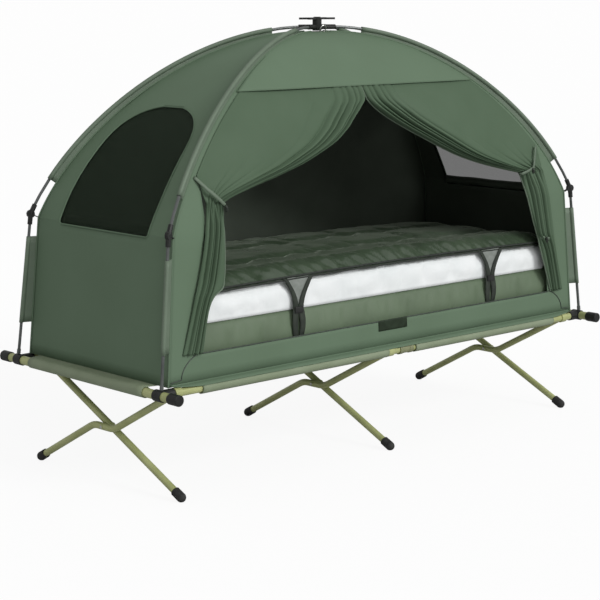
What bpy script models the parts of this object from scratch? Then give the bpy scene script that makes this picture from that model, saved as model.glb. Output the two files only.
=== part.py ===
"""A folding cot with a pop-up dome tent and its bed.

The cot stands on the floor at z = 0. X runs along it, and the door is on the -Y side.
Each named object is one separate piece of the real product.
"""
import math

import bmesh
import bpy
from mathutils import Matrix, Vector

# Clearances
FIT = 0.0003
OVERRUN = 0.010
WELD_DISTANCE = 0.00001
SHARP_ANGLE = 35.0

# Cot frame
BAR_SPACING = 1.900
BAR_OVERHANG = 0.091
BAR_RADIUS = 0.0140
RAIL_SPACING = 0.700
RAIL_RADIUS = 0.0125
TUBE_WALL = 0.0012
TUBE_HEIGHT = 0.3335
CAP_LENGTH = 0.044
CAP_WALL = 0.0024
COLLAR_WIDTH = 0.035
COLLAR_WALL = 0.0032
BRANCH_REACH = 0.047
MID_GAP = 0.001
MID_OFFSET = 0.058
MID_FITTING_LENGTH = 0.060
MID_FITTING_WALL = 0.0034

# Crossed legs
LEG_PAIR_INSET = 0.074
LEG_RADIUS = 0.0110
LEG_SIDE_OFFSET = 0.0125
FOOT_SPACING = 0.670
CRANK_LENGTH = 0.100
CRANK_BEND = 0.022
EYE_WIDTH = 0.024
EYE_WALL = 0.0035
RIVET_RADIUS = 0.0040
RIVET_HEAD_RADIUS = 0.0075
RIVET_HEAD_THICKNESS = 0.0022
FOOT_RADIUS = 0.0150
FOOT_BORE = 0.030
FOOT_FLAT = 0.0014

# Deck cloth
DECK_THICKNESS = 0.0020
RAIL_SLEEVE_MARGIN = 0.150
BAR_SLEEVE_MARGIN = 0.065
MID_WINDOW_LEFT = -0.030
MID_WINDOW_RIGHT = 0.094
DECK_SIDE_MARGIN = 0.012
SLEEVE_WRAP = 335.0
SLEEVE_STEPS = 18

# Tent poles; a radius here is measured along a corner's diagonal from the tent's middle
POLE_RADIUS = 0.0048
POLE_FIT = 0.0009
FERRULE_RADIUS = 0.0062
FERRULE_LENGTH = 0.014
FERRULE_LEAN = 6.0
POLE_FOOT_INSET = 0.0005
POLE_FOOT_OVERHANG = 0.0080
ELBOW_INSET = 0.04974837
ELBOW_HEIGHT = 0.790
ELBOW_ANGLE = 65.0
ELBOW_CHEEK_RADIUS = 0.0130
ELBOW_CHEEK_THICKNESS = 0.0110
ELBOW_SOCKET_RADIUS = 0.0078
ELBOW_SOCKET_LENGTH = 0.026
ELBOW_ARM_WIDTH = 0.012
ELBOW_ARM_THICKNESS = 0.0030
ARC_LOWER_HANDLE = 0.300
ARC_UPPER_HANDLE = 0.400
ARC_TOP_OUT = 0.045
ARC_TOP_HEIGHT = 1.357

# Hub
HUB_RADIUS = 0.0150
HUB_RISE = 0.0325
HUB_ARM_REACH = 0.062
HUB_ARM_WIDTH = 0.0120
HUB_ARM_THICKNESS = 0.0085
HUB_ARM_TIP_WIDTH = 0.0080
HUB_SOCKET_REACH = 0.064
HUB_SOCKET_RADIUS = 0.0080

# Tent cloth
CLOTH = 0.0020
BASE_INSET = 0.037
ARC_SEAM_DROP = 0.027
TOP_SEAM_DROP = 0.014
CORNER_GAP = 0.0040
SILL_TOP = 0.434
DOOR_SIDE_MARGIN = 0.1595
DOOR_SHOULDER = 0.830
DOOR_SIDE_LEAN = 0.035
DOOR_MARGIN = 0.045
DOOR_HEAD_DROP = 0.194
FLAP_SEAM_GAP = 0.005
FLAP_WIDTH = 0.082
FLAP_STANDOFF = 0.0090
FLAP_SEAM_STANDOFF = 0.0036
LOWER_SLEEVE_BOTTOM = 0.450
LOWER_SLEEVE_TOP = 0.720
ARC_SLEEVE_START = 0.13
ARC_SLEEVE_END = 0.93
WINDOW_BOTTOM = 0.770
WINDOW_HEAD_DROP = 0.231
WINDOW_BOTTOM_HALF = 0.205
WINDOW_ARCH_RISE = 0.086
WINDOW_SHOULDER_HALF = 0.172
WINDOW_MESH_THICKNESS = 0.0012

# Door curtains
CURTAIN_TIE_MARGIN = 0.078
CURTAIN_TIE_WIDTH = 0.050
CURTAIN_TIE_HEIGHT = 0.865
CURTAIN_SAG = 0.075
CURTAIN_FOLDS = 4
CURTAIN_FOLD_DEPTH = 0.014
CURTAIN_STANDOFF = 0.0050
CURTAIN_HEAD_SHARE = 0.65
TIED_FOLD_SHARE = 0.7
CURTAIN_FOOT_MARGIN = 0.035
CURTAIN_FOOT_WIDTH = 0.050
TIE_STRAP_WIDTH = 0.018
TIE_STRAP_THICKNESS = 0.0024
TIE_ANCHOR_INSET = 0.01629815
TIE_ANCHOR_HEIGHT = 0.930

# Bed
MATTRESS_END_MARGIN = 0.070
MATTRESS_SIDE_MARGIN = 0.028
MATTRESS_TOP = 0.512
PAD_END_INSET = 0.065
PAD_SIDE_INSET = 0.004
PAD_TOP = 0.596
QUILT_END_OVERHANG = 0.007
QUILT_SIDE_OVERHANG = 0.003
QUILT_EDGE = 0.012
QUILT_CROWN = 0.018
MATTRESS_BULGE = 0.008
PAD_BULGE = 0.016
QUILT_BULGE = 0.004
BED_STRAP_FOOT = 0.400
BED_STRAP_THICKNESS = 0.0024
BED_STRAP_WIDTH = 0.020
BED_STRAP_SPREAD = 0.100
BED_STRAP_JOIN = 0.515
LEFT_STRAP_PLACE = -0.385
RIGHT_STRAP_PLACE = 0.505

# Steps of curves
ARC_STEPS = 14
BEND_STEPS = 4
DOME_STEPS = 5
DOOR_STEPS = 7
WINDOW_STEPS = 6
FLAP_STEPS = 4
CURTAIN_HEAD_STEPS = 7
CURTAIN_FALL_STEPS = 5
FOLD_STEPS = 4
FACET_TURN_SHARE = 0.3
ROUND_SIDES = 16
THIN_SIDES = 10
POLE_SIDES = 8

# Sizes worked out from those above
BAR_X = BAR_SPACING / 2
RAIL_Y = RAIL_SPACING / 2
FOOT_Y = FOOT_SPACING / 2
BAR_LENGTH = RAIL_SPACING + BAR_OVERHANG * 2
LEG_PAIR_SPACING = BAR_X - LEG_PAIR_INSET
RAIL_SLEEVE_END = BAR_X - RAIL_SLEEVE_MARGIN
BAR_SLEEVE_HALF = RAIL_Y - BAR_SLEEVE_MARGIN
FOOT_CENTRE_Z = FOOT_RADIUS - FOOT_FLAT
COLLAR_RADIUS = BAR_RADIUS + FIT + COLLAR_WALL
DECK_BOTTOM = TUBE_HEIGHT + BAR_RADIUS + FIT
DECK_TOP = DECK_BOTTOM + DECK_THICKNESS
TENT_BASE = DECK_TOP + FIT
POLE_FOOT_X = BAR_X - POLE_FOOT_INSET
POLE_FOOT_Y = RAIL_Y + POLE_FOOT_OVERHANG
POLE_FOOT_OUT = math.hypot(POLE_FOOT_X, POLE_FOOT_Y)
DIAGONAL_X = POLE_FOOT_X / POLE_FOOT_OUT
DIAGONAL_Y = POLE_FOOT_Y / POLE_FOOT_OUT
ELBOW_OUT = POLE_FOOT_OUT - ELBOW_INSET
COLLAR_TOP = TUBE_HEIGHT + COLLAR_RADIUS
HUB_TOP = ARC_TOP_HEIGHT + HUB_RISE
DOOR_TOP = ARC_TOP_HEIGHT - DOOR_HEAD_DROP
DOOR_HALF = POLE_FOOT_X - DOOR_SIDE_MARGIN
DOOR_SHOULDER_HALF = DOOR_HALF - DOOR_SIDE_LEAN
FLAP_BOTTOM = DOOR_TOP + FLAP_SEAM_GAP
FLAP_TOP = FLAP_BOTTOM + FLAP_WIDTH
WINDOW_TOP = ARC_TOP_HEIGHT - WINDOW_HEAD_DROP
WINDOW_SHOULDER = WINDOW_TOP - WINDOW_ARCH_RISE
CURTAIN_TIE_OUT = DOOR_HALF - CURTAIN_TIE_MARGIN
CURTAIN_FOOT_INNER = DOOR_HALF - CURTAIN_FOOT_MARGIN
CURTAIN_FOOT_OUTER = CURTAIN_FOOT_INNER + CURTAIN_FOOT_WIDTH
MATTRESS_HALF_LENGTH = BAR_X - MATTRESS_END_MARGIN
MATTRESS_HALF_WIDTH = RAIL_Y - MATTRESS_SIDE_MARGIN
PAD_HALF_LENGTH = MATTRESS_HALF_LENGTH - PAD_END_INSET
PAD_HALF_WIDTH = MATTRESS_HALF_WIDTH - PAD_SIDE_INSET
QUILT_HALF_LENGTH = PAD_HALF_LENGTH + QUILT_END_OVERHANG
QUILT_HALF_WIDTH = PAD_HALF_WIDTH + QUILT_SIDE_OVERHANG
QUILT_BASE = PAD_TOP + FIT
LEFT_AND_RIGHT = (("left", -1), ("right", 1))
FRONT_AND_BACK = (("front", -1), ("back", 1))


def clear_scene():
    for item in list(bpy.data.objects):
        bpy.data.objects.remove(item, do_unlink=True)


def make_material(name, colour, roughness, metallic):
    material = bpy.data.materials.new(name)
    material.use_nodes = True
    shader = material.node_tree.nodes["Principled BSDF"]
    shader.inputs["Base Color"].default_value = (*colour, 1)
    shader.inputs["Roughness"].default_value = roughness
    shader.inputs["Metallic"].default_value = metallic
    return material


def make_materials():
    return {
        "tube": make_material("olive_painted_tube", (0.17, 0.21, 0.08), 0.45, 0.3),
        "plastic": make_material("black_plastic", (0.012, 0.013, 0.012), 0.5, 0),
        "rubber": make_material("black_rubber", (0.010, 0.011, 0.010), 0.8, 0),
        "pole": make_material("grey_pole", (0.30, 0.32, 0.33), 0.35, 0.6),
        "deck": make_material("deck_cloth", (0.10, 0.15, 0.10), 0.9, 0),
        "cloth": make_material("green_tent_cloth", (0.11, 0.17, 0.12), 0.75, 0),
        "mesh": make_material("dark_window_mesh", (0.012, 0.020, 0.014), 0.9, 0),
        "mattress": make_material("green_mattress_cloth", (0.13, 0.20, 0.13), 0.7, 0),
        "pad": make_material("white_pad_cloth", (0.80, 0.82, 0.80), 0.8, 0),
        "quilt": make_material("dark_quilted_nylon", (0.03, 0.05, 0.03), 0.4, 0),
        "webbing": make_material("dark_webbing", (0.015, 0.02, 0.015), 0.8, 0),
    }


def new_object(name, mesh, material, origin):
    """Adds an object whose mesh, given in the world, has its origin at a chosen point."""
    mesh.transform(Matrix.Translation(-Vector(origin)))
    item = bpy.data.objects.new(name, mesh)
    item.location = origin
    bpy.context.scene.collection.objects.link(item)
    if material is not None:
        mesh.materials.append(material)
    return item


def finish_mesh(name, shape, smooth=True):
    bmesh.ops.recalc_face_normals(shape, faces=shape.faces)
    mesh = bpy.data.meshes.new(name)
    shape.to_mesh(mesh)
    shape.free()
    if smooth:
        mesh.shade_smooth()
        mesh.set_sharp_from_angle(angle=math.radians(SHARP_ANGLE))
    return mesh


def along(start, end):
    """The frame whose Z axis runs from start to end, with its origin at start."""
    start = Vector(start)
    direction = Vector(end) - start
    turn = direction.to_track_quat("Z", "Y").to_matrix().to_4x4()
    return Matrix.Translation(start) @ turn


def lathe(profile, frame, sides=ROUND_SIDES):
    """Turns a closed or axis-to-axis profile of (radius, height) points about a frame's Z."""
    shape = bmesh.new()
    points = [shape.verts.new((radius, 0, height)) for radius, height in profile]
    edges = [shape.edges.new(pair) for pair in zip(points, points[1:])]
    if profile[0][0] > 0:
        edges.append(shape.edges.new((points[-1], points[0])))
    bmesh.ops.spin(
        shape, geom=points + edges, axis=(0, 0, 1), cent=(0, 0, 0),
        angle=math.tau, steps=sides, use_merge=True,
    )
    bmesh.ops.remove_doubles(shape, verts=shape.verts, dist=WELD_DISTANCE)
    turn = Matrix.Rotation(FACET_TURN_SHARE * math.tau / sides, 4, "Z")
    bmesh.ops.transform(shape, matrix=frame @ turn, verts=shape.verts)
    return shape


def rod_profile(radius, low, high):
    return [(0, low), (radius, low), (radius, high), (0, high)]


def tube_profile(outer, inner, low, high):
    return [(inner, low), (outer, low), (outer, high), (inner, high)]


def block(low, high):
    """A box between two corners."""
    shape = bmesh.new()
    bmesh.ops.create_cube(shape, size=1)
    low = Vector(low)
    high = Vector(high)
    bmesh.ops.scale(shape, vec=high - low, verts=shape.verts)
    bmesh.ops.translate(shape, vec=(low + high) / 2, verts=shape.verts)
    return shape


def helper(name, shape, parent):
    """A hidden body that a Boolean of its parent reads."""
    mesh = finish_mesh(name, shape)
    item = new_object(name, mesh, None, (0, 0, 0))
    item.hide_render = True
    item.display_type = "WIRE"
    item.parent = parent
    item.matrix_parent_inverse = parent.matrix_world.inverted()
    return item


def combine(item, operation, name, shape):
    """Joins a shape to an object, or cuts it out, by a Boolean."""
    bpy.context.view_layer.update()
    change = item.modifiers.new(name, "BOOLEAN")
    change.operation = operation
    change.solver = "EXACT"
    change.object = helper(item.name + "_" + name, shape, item)
    tidy = item.modifiers.new(name + "_weld", "WELD")
    tidy.merge_threshold = WELD_DISTANCE


def prism(outline, axis, low, high):
    """An outline of pairs in the plane square to an axis, extruded from low to high."""
    shape = bmesh.new()
    places = {
        "X": lambda a, b: (low, a, b),
        "Y": lambda a, b: (a, low, b),
    }[axis]
    face = shape.faces.new([shape.verts.new(places(a, b)) for a, b in outline])
    raised = bmesh.ops.extrude_face_region(shape, geom=[face])["geom"]
    shift = Vector((high - low, 0, 0)) if axis == "X" else Vector((0, high - low, 0))
    moved = [part for part in raised if isinstance(part, bmesh.types.BMVert)]
    bmesh.ops.translate(shape, vec=shift, verts=moved)
    return shape


def swept(path, radius, sides):
    """A round rod along a path, with its ends square to the path."""
    shape = bmesh.new()
    rings = []
    for place, point in enumerate(path):
        before = path[max(place - 1, 0)]
        after = path[min(place + 1, len(path) - 1)]
        frame = along(point, Vector(point) + (Vector(after) - Vector(before)))
        ring = []
        for side in range(sides):
            angle = math.tau * side / sides
            spot = Vector((math.cos(angle) * radius, math.sin(angle) * radius, 0))
            ring.append(shape.verts.new(frame @ spot))
        rings.append(ring)
    for lower, upper in zip(rings, rings[1:]):
        for side in range(sides):
            after = (side + 1) % sides
            shape.faces.new((lower[side], lower[after], upper[after], upper[side]))
    shape.faces.new(reversed(rings[0]))
    shape.faces.new(rings[-1])
    return shape


def rounded_path(points, bend):
    """A path whose inner corners are rounded with short curves."""
    points = [Vector(point) for point in points]
    path = [points[0]]
    for before, corner, after in zip(points, points[1:], points[2:]):
        start = corner + (before - corner).normalized() * bend
        end = corner + (after - corner).normalized() * bend
        for step in range(BEND_STEPS + 1):
            share = step / BEND_STEPS
            path.append(start.lerp(corner, share).lerp(corner.lerp(end, share), share))
    path.append(points[-1])
    return path


# Cot frame

def build_rails(materials):
    joint = MID_OFFSET
    end = BAR_X - BAR_RADIUS - COLLAR_WALL - FIT - FIT
    for side, sign in FRONT_AND_BACK:
        centre = (0, sign * RAIL_Y, TUBE_HEIGHT)
        for half, low, high in (
            ("left", -end, joint - MID_GAP / 2),
            ("right", joint + MID_GAP / 2, end),
        ):
            frame = along(centre, (1, sign * RAIL_Y, TUBE_HEIGHT))
            profile = tube_profile(RAIL_RADIUS, RAIL_RADIUS - TUBE_WALL, low, high)
            mesh = finish_mesh(half, lathe(profile, frame))
            new_object(side + "_rail_" + half, mesh, materials["tube"], centre)
        low = joint - MID_FITTING_LENGTH / 2
        high = joint + MID_FITTING_LENGTH / 2
        bore = RAIL_RADIUS + FIT
        outer = bore + MID_FITTING_WALL
        rim = MID_FITTING_WALL / 2
        waist = MID_FITTING_LENGTH / 4
        profile = [
            (bore, low), (outer, low), (outer, low + waist), (outer - rim, low + waist + rim),
            (outer - rim, high - waist - rim), (outer, high - waist), (outer, high), (bore, high),
        ]
        frame = along(centre, (1, sign * RAIL_Y, TUBE_HEIGHT))
        mesh = finish_mesh(side, lathe(profile, frame))
        new_object(side + "_rail_hinge_fitting", mesh, materials["plastic"], centre)


def build_end_bars(materials):
    for end, sign in LEFT_AND_RIGHT:
        centre = (sign * BAR_X, 0, TUBE_HEIGHT)
        frame = along(centre, (sign * BAR_X, 1, TUBE_HEIGHT))
        reach = BAR_LENGTH / 2 - CAP_WALL - FIT
        profile = tube_profile(BAR_RADIUS, BAR_RADIUS - TUBE_WALL, -reach, reach)
        mesh = finish_mesh(end, lathe(profile, frame))
        new_object(end + "_end_bar", mesh, materials["tube"], centre)
        for side, way in FRONT_AND_BACK:
            build_bar_cap(end + "_" + side + "_bar_cap", sign, way, materials)
            build_corner_collar(end + "_" + side + "_corner_collar", sign, way, materials)


def build_bar_cap(name, sign, way, materials):
    centre = (sign * BAR_X, 0, TUBE_HEIGHT)
    frame = along(centre, (sign * BAR_X, way, TUBE_HEIGHT))
    high = BAR_LENGTH / 2
    low = high - CAP_LENGTH
    floor = high - CAP_WALL
    bore = BAR_RADIUS + FIT
    outer = bore + CAP_WALL
    edge = CAP_WALL
    profile = [
        (0, floor), (bore, floor), (bore, low), (outer - edge / 2, low), (outer, low + edge),
        (outer, high - edge), (outer - edge, high), (0, high),
    ]
    mesh = finish_mesh(name, lathe(profile, frame))
    new_object(name, mesh, materials["plastic"], centre)


def build_corner_collar(name, sign, way, materials):
    """A T of black plastic: a ring that slides on the end bar, and a cup for the rail."""
    centre = (sign * BAR_X, way * RAIL_Y, TUBE_HEIGHT)
    across = along(centre, (sign * BAR_X, way * RAIL_Y + 1, TUBE_HEIGHT))
    inward = along(centre, (sign * (BAR_X - 1), way * RAIL_Y, TUBE_HEIGHT))
    half = COLLAR_WIDTH / 2
    mesh = finish_mesh(name, lathe(rod_profile(COLLAR_RADIUS, -half, half), across))
    item = new_object(name, mesh, materials["plastic"], centre)
    cup = RAIL_RADIUS + FIT + COLLAR_WALL
    combine(item, "UNION", "branch", lathe(rod_profile(cup, 0, BRANCH_REACH), inward))
    bore = BAR_RADIUS + FIT
    hole = rod_profile(bore, -half - OVERRUN, half + OVERRUN)
    combine(item, "DIFFERENCE", "bar_bore", lathe(hole, across))
    socket = rod_profile(RAIL_RADIUS + FIT, BAR_RADIUS + COLLAR_WALL, BRANCH_REACH + OVERRUN)
    combine(item, "DIFFERENCE", "rail_socket", lathe(socket, inward))


# Crossed legs

def leg_line():
    """Height of the crossing rivet, on the straight leg's line at the cot's middle."""
    rise = (TUBE_HEIGHT - FOOT_CENTRE_Z) / (RAIL_Y + FOOT_Y)
    return FOOT_CENTRE_Z + rise * FOOT_Y


def build_legs(materials):
    pivot_z = leg_line()
    for pair, middle in (("left", -LEG_PAIR_SPACING), ("middle", 0), ("right", LEG_PAIR_SPACING)):
        build_straight_leg(pair, middle + LEG_SIDE_OFFSET, pivot_z, materials)
        build_cranked_leg(pair, middle - LEG_SIDE_OFFSET, pivot_z, materials)


def leg_eye(item, x, rail_side):
    """The ring at a leg's top that turns on its rail."""
    centre = (x, rail_side * RAIL_Y, TUBE_HEIGHT)
    frame = along(centre, (x + 1, rail_side * RAIL_Y, TUBE_HEIGHT))
    half = EYE_WIDTH / 2
    outer = RAIL_RADIUS + FIT + EYE_WALL
    combine(item, "UNION", "eye", lathe(rod_profile(outer, -half, half), frame))
    hole = rod_profile(RAIL_RADIUS + FIT, -half - OVERRUN, half + OVERRUN)
    combine(item, "DIFFERENCE", "eye_bore", lathe(hole, frame))


def build_straight_leg(pair, x, pivot_z, materials):
    top = Vector((x, RAIL_Y, TUBE_HEIGHT))
    foot = Vector((x, -FOOT_Y, FOOT_CENTRE_Z))
    pivot = (x, 0, pivot_z)
    name = pair + "_straight_leg"
    start = top + (foot - top).normalized() * RAIL_RADIUS
    mesh = finish_mesh(name, swept([start, foot], LEG_RADIUS, ROUND_SIDES))
    item = new_object(name, mesh, materials["tube"], pivot)
    leg_eye(item, x, 1)
    head = RIVET_HEAD_THICKNESS
    side = along(pivot, (x - 1, 0, pivot_z))
    far = 2 * LEG_SIDE_OFFSET + LEG_RADIUS + FIT
    washer = 2 * LEG_SIDE_OFFSET - LEG_RADIUS - FIT
    near = LEG_RADIUS
    rivet = [
        (0, -near - head), (RIVET_HEAD_RADIUS - head, -near - head), (RIVET_HEAD_RADIUS, -near),
        (RIVET_HEAD_RADIUS, washer), (RIVET_RADIUS, washer), (RIVET_RADIUS, far),
        (RIVET_HEAD_RADIUS, far), (RIVET_HEAD_RADIUS - head, far + head), (0, far + head),
    ]
    combine(item, "UNION", "rivet", lathe(rivet, side, THIN_SIDES))
    build_foot(pair + "_straight_leg_foot", top, foot, materials)


def build_cranked_leg(pair, x, pivot_z, materials):
    top = Vector((x, -RAIL_Y, TUBE_HEIGHT))
    foot = Vector((x, FOOT_Y, FOOT_CENTRE_Z))
    upper = Vector((x, -CRANK_LENGTH / 2, pivot_z))
    lower = Vector((x, CRANK_LENGTH / 2, pivot_z))
    name = pair + "_cranked_leg"
    start = top + (upper - top).normalized() * RAIL_RADIUS
    path = rounded_path([start, upper, lower, foot], CRANK_BEND)
    mesh = finish_mesh(name, swept(path, LEG_RADIUS, ROUND_SIDES))
    item = new_object(name, mesh, materials["tube"], top)
    leg_eye(item, x, -1)
    hole = rod_profile(RIVET_RADIUS + FIT, -LEG_RADIUS - OVERRUN, LEG_RADIUS + OVERRUN)
    side = along((x, 0, pivot_z), (x + 1, 0, pivot_z))
    combine(item, "DIFFERENCE", "rivet_bore", lathe(hole, side, THIN_SIDES))
    build_foot(pair + "_cranked_leg_foot", lower, foot, materials)


def build_foot(name, top, foot, materials):
    """A rubber cup on the leg's end, worn flat where it stands on the floor."""
    frame = along(foot, top)
    bore = LEG_RADIUS + FIT
    mouth = FOOT_BORE
    dome = []
    for step in range(DOME_STEPS + 1):
        angle = math.radians(90) * step / DOME_STEPS
        dome.append((FOOT_RADIUS * math.cos(angle), -FOOT_RADIUS * math.sin(angle)))
    profile = [(0, -FIT), (bore, -FIT), (bore, mouth), (FOOT_RADIUS - FIT, mouth)]
    profile += dome[:-1] + [(0, -FOOT_RADIUS)]
    shape = lathe(profile, frame)
    everything = shape.verts[:] + shape.edges[:] + shape.faces[:]
    cut = bmesh.ops.bisect_plane(
        shape, geom=everything, plane_co=(0, 0, 0), plane_no=(0, 0, -1), clear_outer=True,
    )
    rim = [part for part in cut["geom_cut"] if isinstance(part, bmesh.types.BMEdge)]
    bmesh.ops.contextual_create(shape, geom=rim)
    mesh = finish_mesh(name, shape)
    new_object(name, mesh, materials["rubber"], foot)


# Deck cloth

def wrap_sleeve(shape, face, centre, axis):
    """Carries an edge face of the sheet round a tube, which leaves an open seam below."""
    turn = Matrix.Rotation(math.radians(SLEEVE_WRAP) / SLEEVE_STEPS, 4, axis)
    for _ in range(SLEEVE_STEPS):
        made = bmesh.ops.extrude_face_region(shape, geom=[face])["geom"]
        if face.is_valid:
            bmesh.ops.delete(shape, geom=[face], context="FACES_ONLY")
        face = next(part for part in made if isinstance(part, bmesh.types.BMFace))
        moved = [part for part in made if isinstance(part, bmesh.types.BMVert)]
        bmesh.ops.rotate(shape, cent=centre, matrix=turn, verts=moved)


def build_deck(materials):
    """The deck sheet, with open-seamed sleeves round the rails and the end bars."""
    end = RAIL_SLEEVE_END
    notch = RAIL_Y - RAIL_RADIUS - EYE_WALL - DECK_SIDE_MARGIN
    outline = [
        (-BAR_X, -BAR_SLEEVE_HALF), (-end, -notch), (-end, -RAIL_Y),
        (MID_WINDOW_LEFT, -RAIL_Y), (MID_WINDOW_LEFT, -notch),
        (MID_WINDOW_RIGHT, -notch), (MID_WINDOW_RIGHT, -RAIL_Y),
        (end, -RAIL_Y), (end, -notch), (BAR_X, -BAR_SLEEVE_HALF),
    ]
    outline += [(x, -y) for x, y in reversed(outline)]
    shape = bmesh.new()
    face = shape.faces.new([shape.verts.new((x, y, DECK_BOTTOM)) for x, y in outline])
    raised = bmesh.ops.extrude_face_region(shape, geom=[face])["geom"]
    moved = [part for part in raised if isinstance(part, bmesh.types.BMVert)]
    bmesh.ops.translate(shape, vec=(0, 0, DECK_THICKNESS), verts=moved)
    bmesh.ops.recalc_face_normals(shape, faces=shape.faces)
    for way in (-1, 1):
        for face in [part for part in shape.faces if part.normal.y * way > 0.9]:
            if all(abs(vert.co.y - way * RAIL_Y) < FIT for vert in face.verts):
                wrap_sleeve(shape, face, (0, way * RAIL_Y, TUBE_HEIGHT), (-way, 0, 0))
        for face in [part for part in shape.faces if part.normal.x * way > 0.9]:
            if all(abs(vert.co.x - way * BAR_X) < FIT for vert in face.verts):
                wrap_sleeve(shape, face, (way * BAR_X, 0, TUBE_HEIGHT), (0, way, 0))
    mesh = finish_mesh("deck", shape)
    new_object("deck_cloth", mesh, materials["deck"], (0, 0, DECK_TOP))


# Tent poles

def arc_point(share):
    """A point of the upper pole's axis, as (distance out, height), from elbow to hub."""
    lean = math.radians(ELBOW_ANGLE)
    start = Vector((ELBOW_OUT, ELBOW_HEIGHT))
    first = start + Vector((-math.cos(lean), math.sin(lean))) * ARC_LOWER_HANDLE
    end = Vector((ARC_TOP_OUT, ARC_TOP_HEIGHT))
    second = end + Vector((ARC_UPPER_HANDLE, 0))
    rest = 1 - share
    return (
        start * rest ** 3 + first * 3 * rest ** 2 * share
        + second * 3 * rest * share ** 2 + end * share ** 3
    )


def arc_normal(share):
    """The unit vector square to the upper pole, pointing in under it."""
    step = 1 / 1000
    low = max(share - step, 0)
    high = min(share + step, 1)
    run = (arc_point(high) - arc_point(low)).normalized()
    return Vector((-run.y, run.x)) if run.x > 0 else Vector((-abs(run.y), run.x))


def seam_point(share):
    """The canopy's corner seam under the upper pole, as (distance out, height)."""
    drop = ARC_SEAM_DROP + (TOP_SEAM_DROP - ARC_SEAM_DROP) * share
    return arc_point(share) + arc_normal(share) * drop


def seam_rows():
    """The corner seam from the tent's base to its top, with the arc's share or None."""
    start = seam_point(0)
    base = Vector((POLE_FOOT_OUT - BASE_INSET, TENT_BASE))
    rows = [(base, None)]
    for height in (LOWER_SLEEVE_BOTTOM, (LOWER_SLEEVE_BOTTOM + LOWER_SLEEVE_TOP) / 2, LOWER_SLEEVE_TOP):
        share = (height - base.y) / (start.y - base.y)
        rows.append((base.lerp(start, share), None))
    for step in range(ARC_STEPS + 1):
        share = step / ARC_STEPS
        rows.append((seam_point(share), share))
    return rows


def seam_out(height):
    """Distance out of the corner seam at a height."""
    rows = [point for point, _ in seam_rows()]
    for lower, upper in zip(rows, rows[1:]):
        if lower.y <= height <= upper.y:
            share = (height - lower.y) / (upper.y - lower.y)
            return lower.x + (upper.x - lower.x) * share
    return rows[-1].x if height > rows[-1].y else rows[0].x


def corner_place(out, height, x_sign, y_sign):
    return Vector((x_sign * out * DIAGONAL_X, y_sign * out * DIAGONAL_Y, height))


def elbow_share(length):
    """The share of the upper pole's curve that a short length from the elbow takes."""
    return length / (ARC_LOWER_HANDLE * 3)


def pole_shares():
    """Where the upper pole has its rings: close together in its two sockets."""
    shares = [
        elbow_share(ELBOW_CHEEK_RADIUS / 2 + FIT),
        elbow_share(ELBOW_CHEEK_RADIUS / 2 + ELBOW_SOCKET_LENGTH),
    ]
    shares += [step / ARC_STEPS for step in range(1, ARC_STEPS)]
    in_socket = (HUB_SOCKET_REACH - ARC_TOP_OUT) / (ARC_UPPER_HANDLE * 3)
    return shares + [1 - 3 * in_socket, 1 - 2 * in_socket, 1 - in_socket, 1]


def lower_pole_ends():
    foot = Vector((POLE_FOOT_OUT, COLLAR_TOP + FIT + FERRULE_RADIUS * math.sin(math.radians(FERRULE_LEAN))))
    return foot, Vector((ELBOW_OUT, ELBOW_HEIGHT))


def build_poles(materials):
    foot, elbow = lower_pole_ends()
    lean = (elbow - foot).normalized()
    for side, y_sign in FRONT_AND_BACK:
        for end, x_sign in LEFT_AND_RIGHT:
            corner = side + "_" + end

            def place(point, x_sign=x_sign, y_sign=y_sign):
                return corner_place(point.x, point.y, x_sign, y_sign)

            start = place(foot)
            frame = along(start, place(elbow))
            length = (elbow - foot).length - ELBOW_CHEEK_RADIUS / 2 - FIT
            sheath = FERRULE_LENGTH
            profile = [
                (0, 0), (FERRULE_RADIUS, 0), (FERRULE_RADIUS, sheath), (POLE_RADIUS, sheath),
                (POLE_RADIUS, length), (0, length),
            ]
            mesh = finish_mesh(corner, lathe(profile, frame, POLE_SIDES))
            new_object("lower_pole_" + corner, mesh, materials["pole"], start)
            path = [place(arc_point(share)) for share in pole_shares()]
            mesh = finish_mesh(corner, swept(path, POLE_RADIUS, POLE_SIDES))
            new_object("upper_pole_" + corner, mesh, materials["pole"], place(elbow))
            build_elbow(corner, place, elbow, lean, materials)


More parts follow.
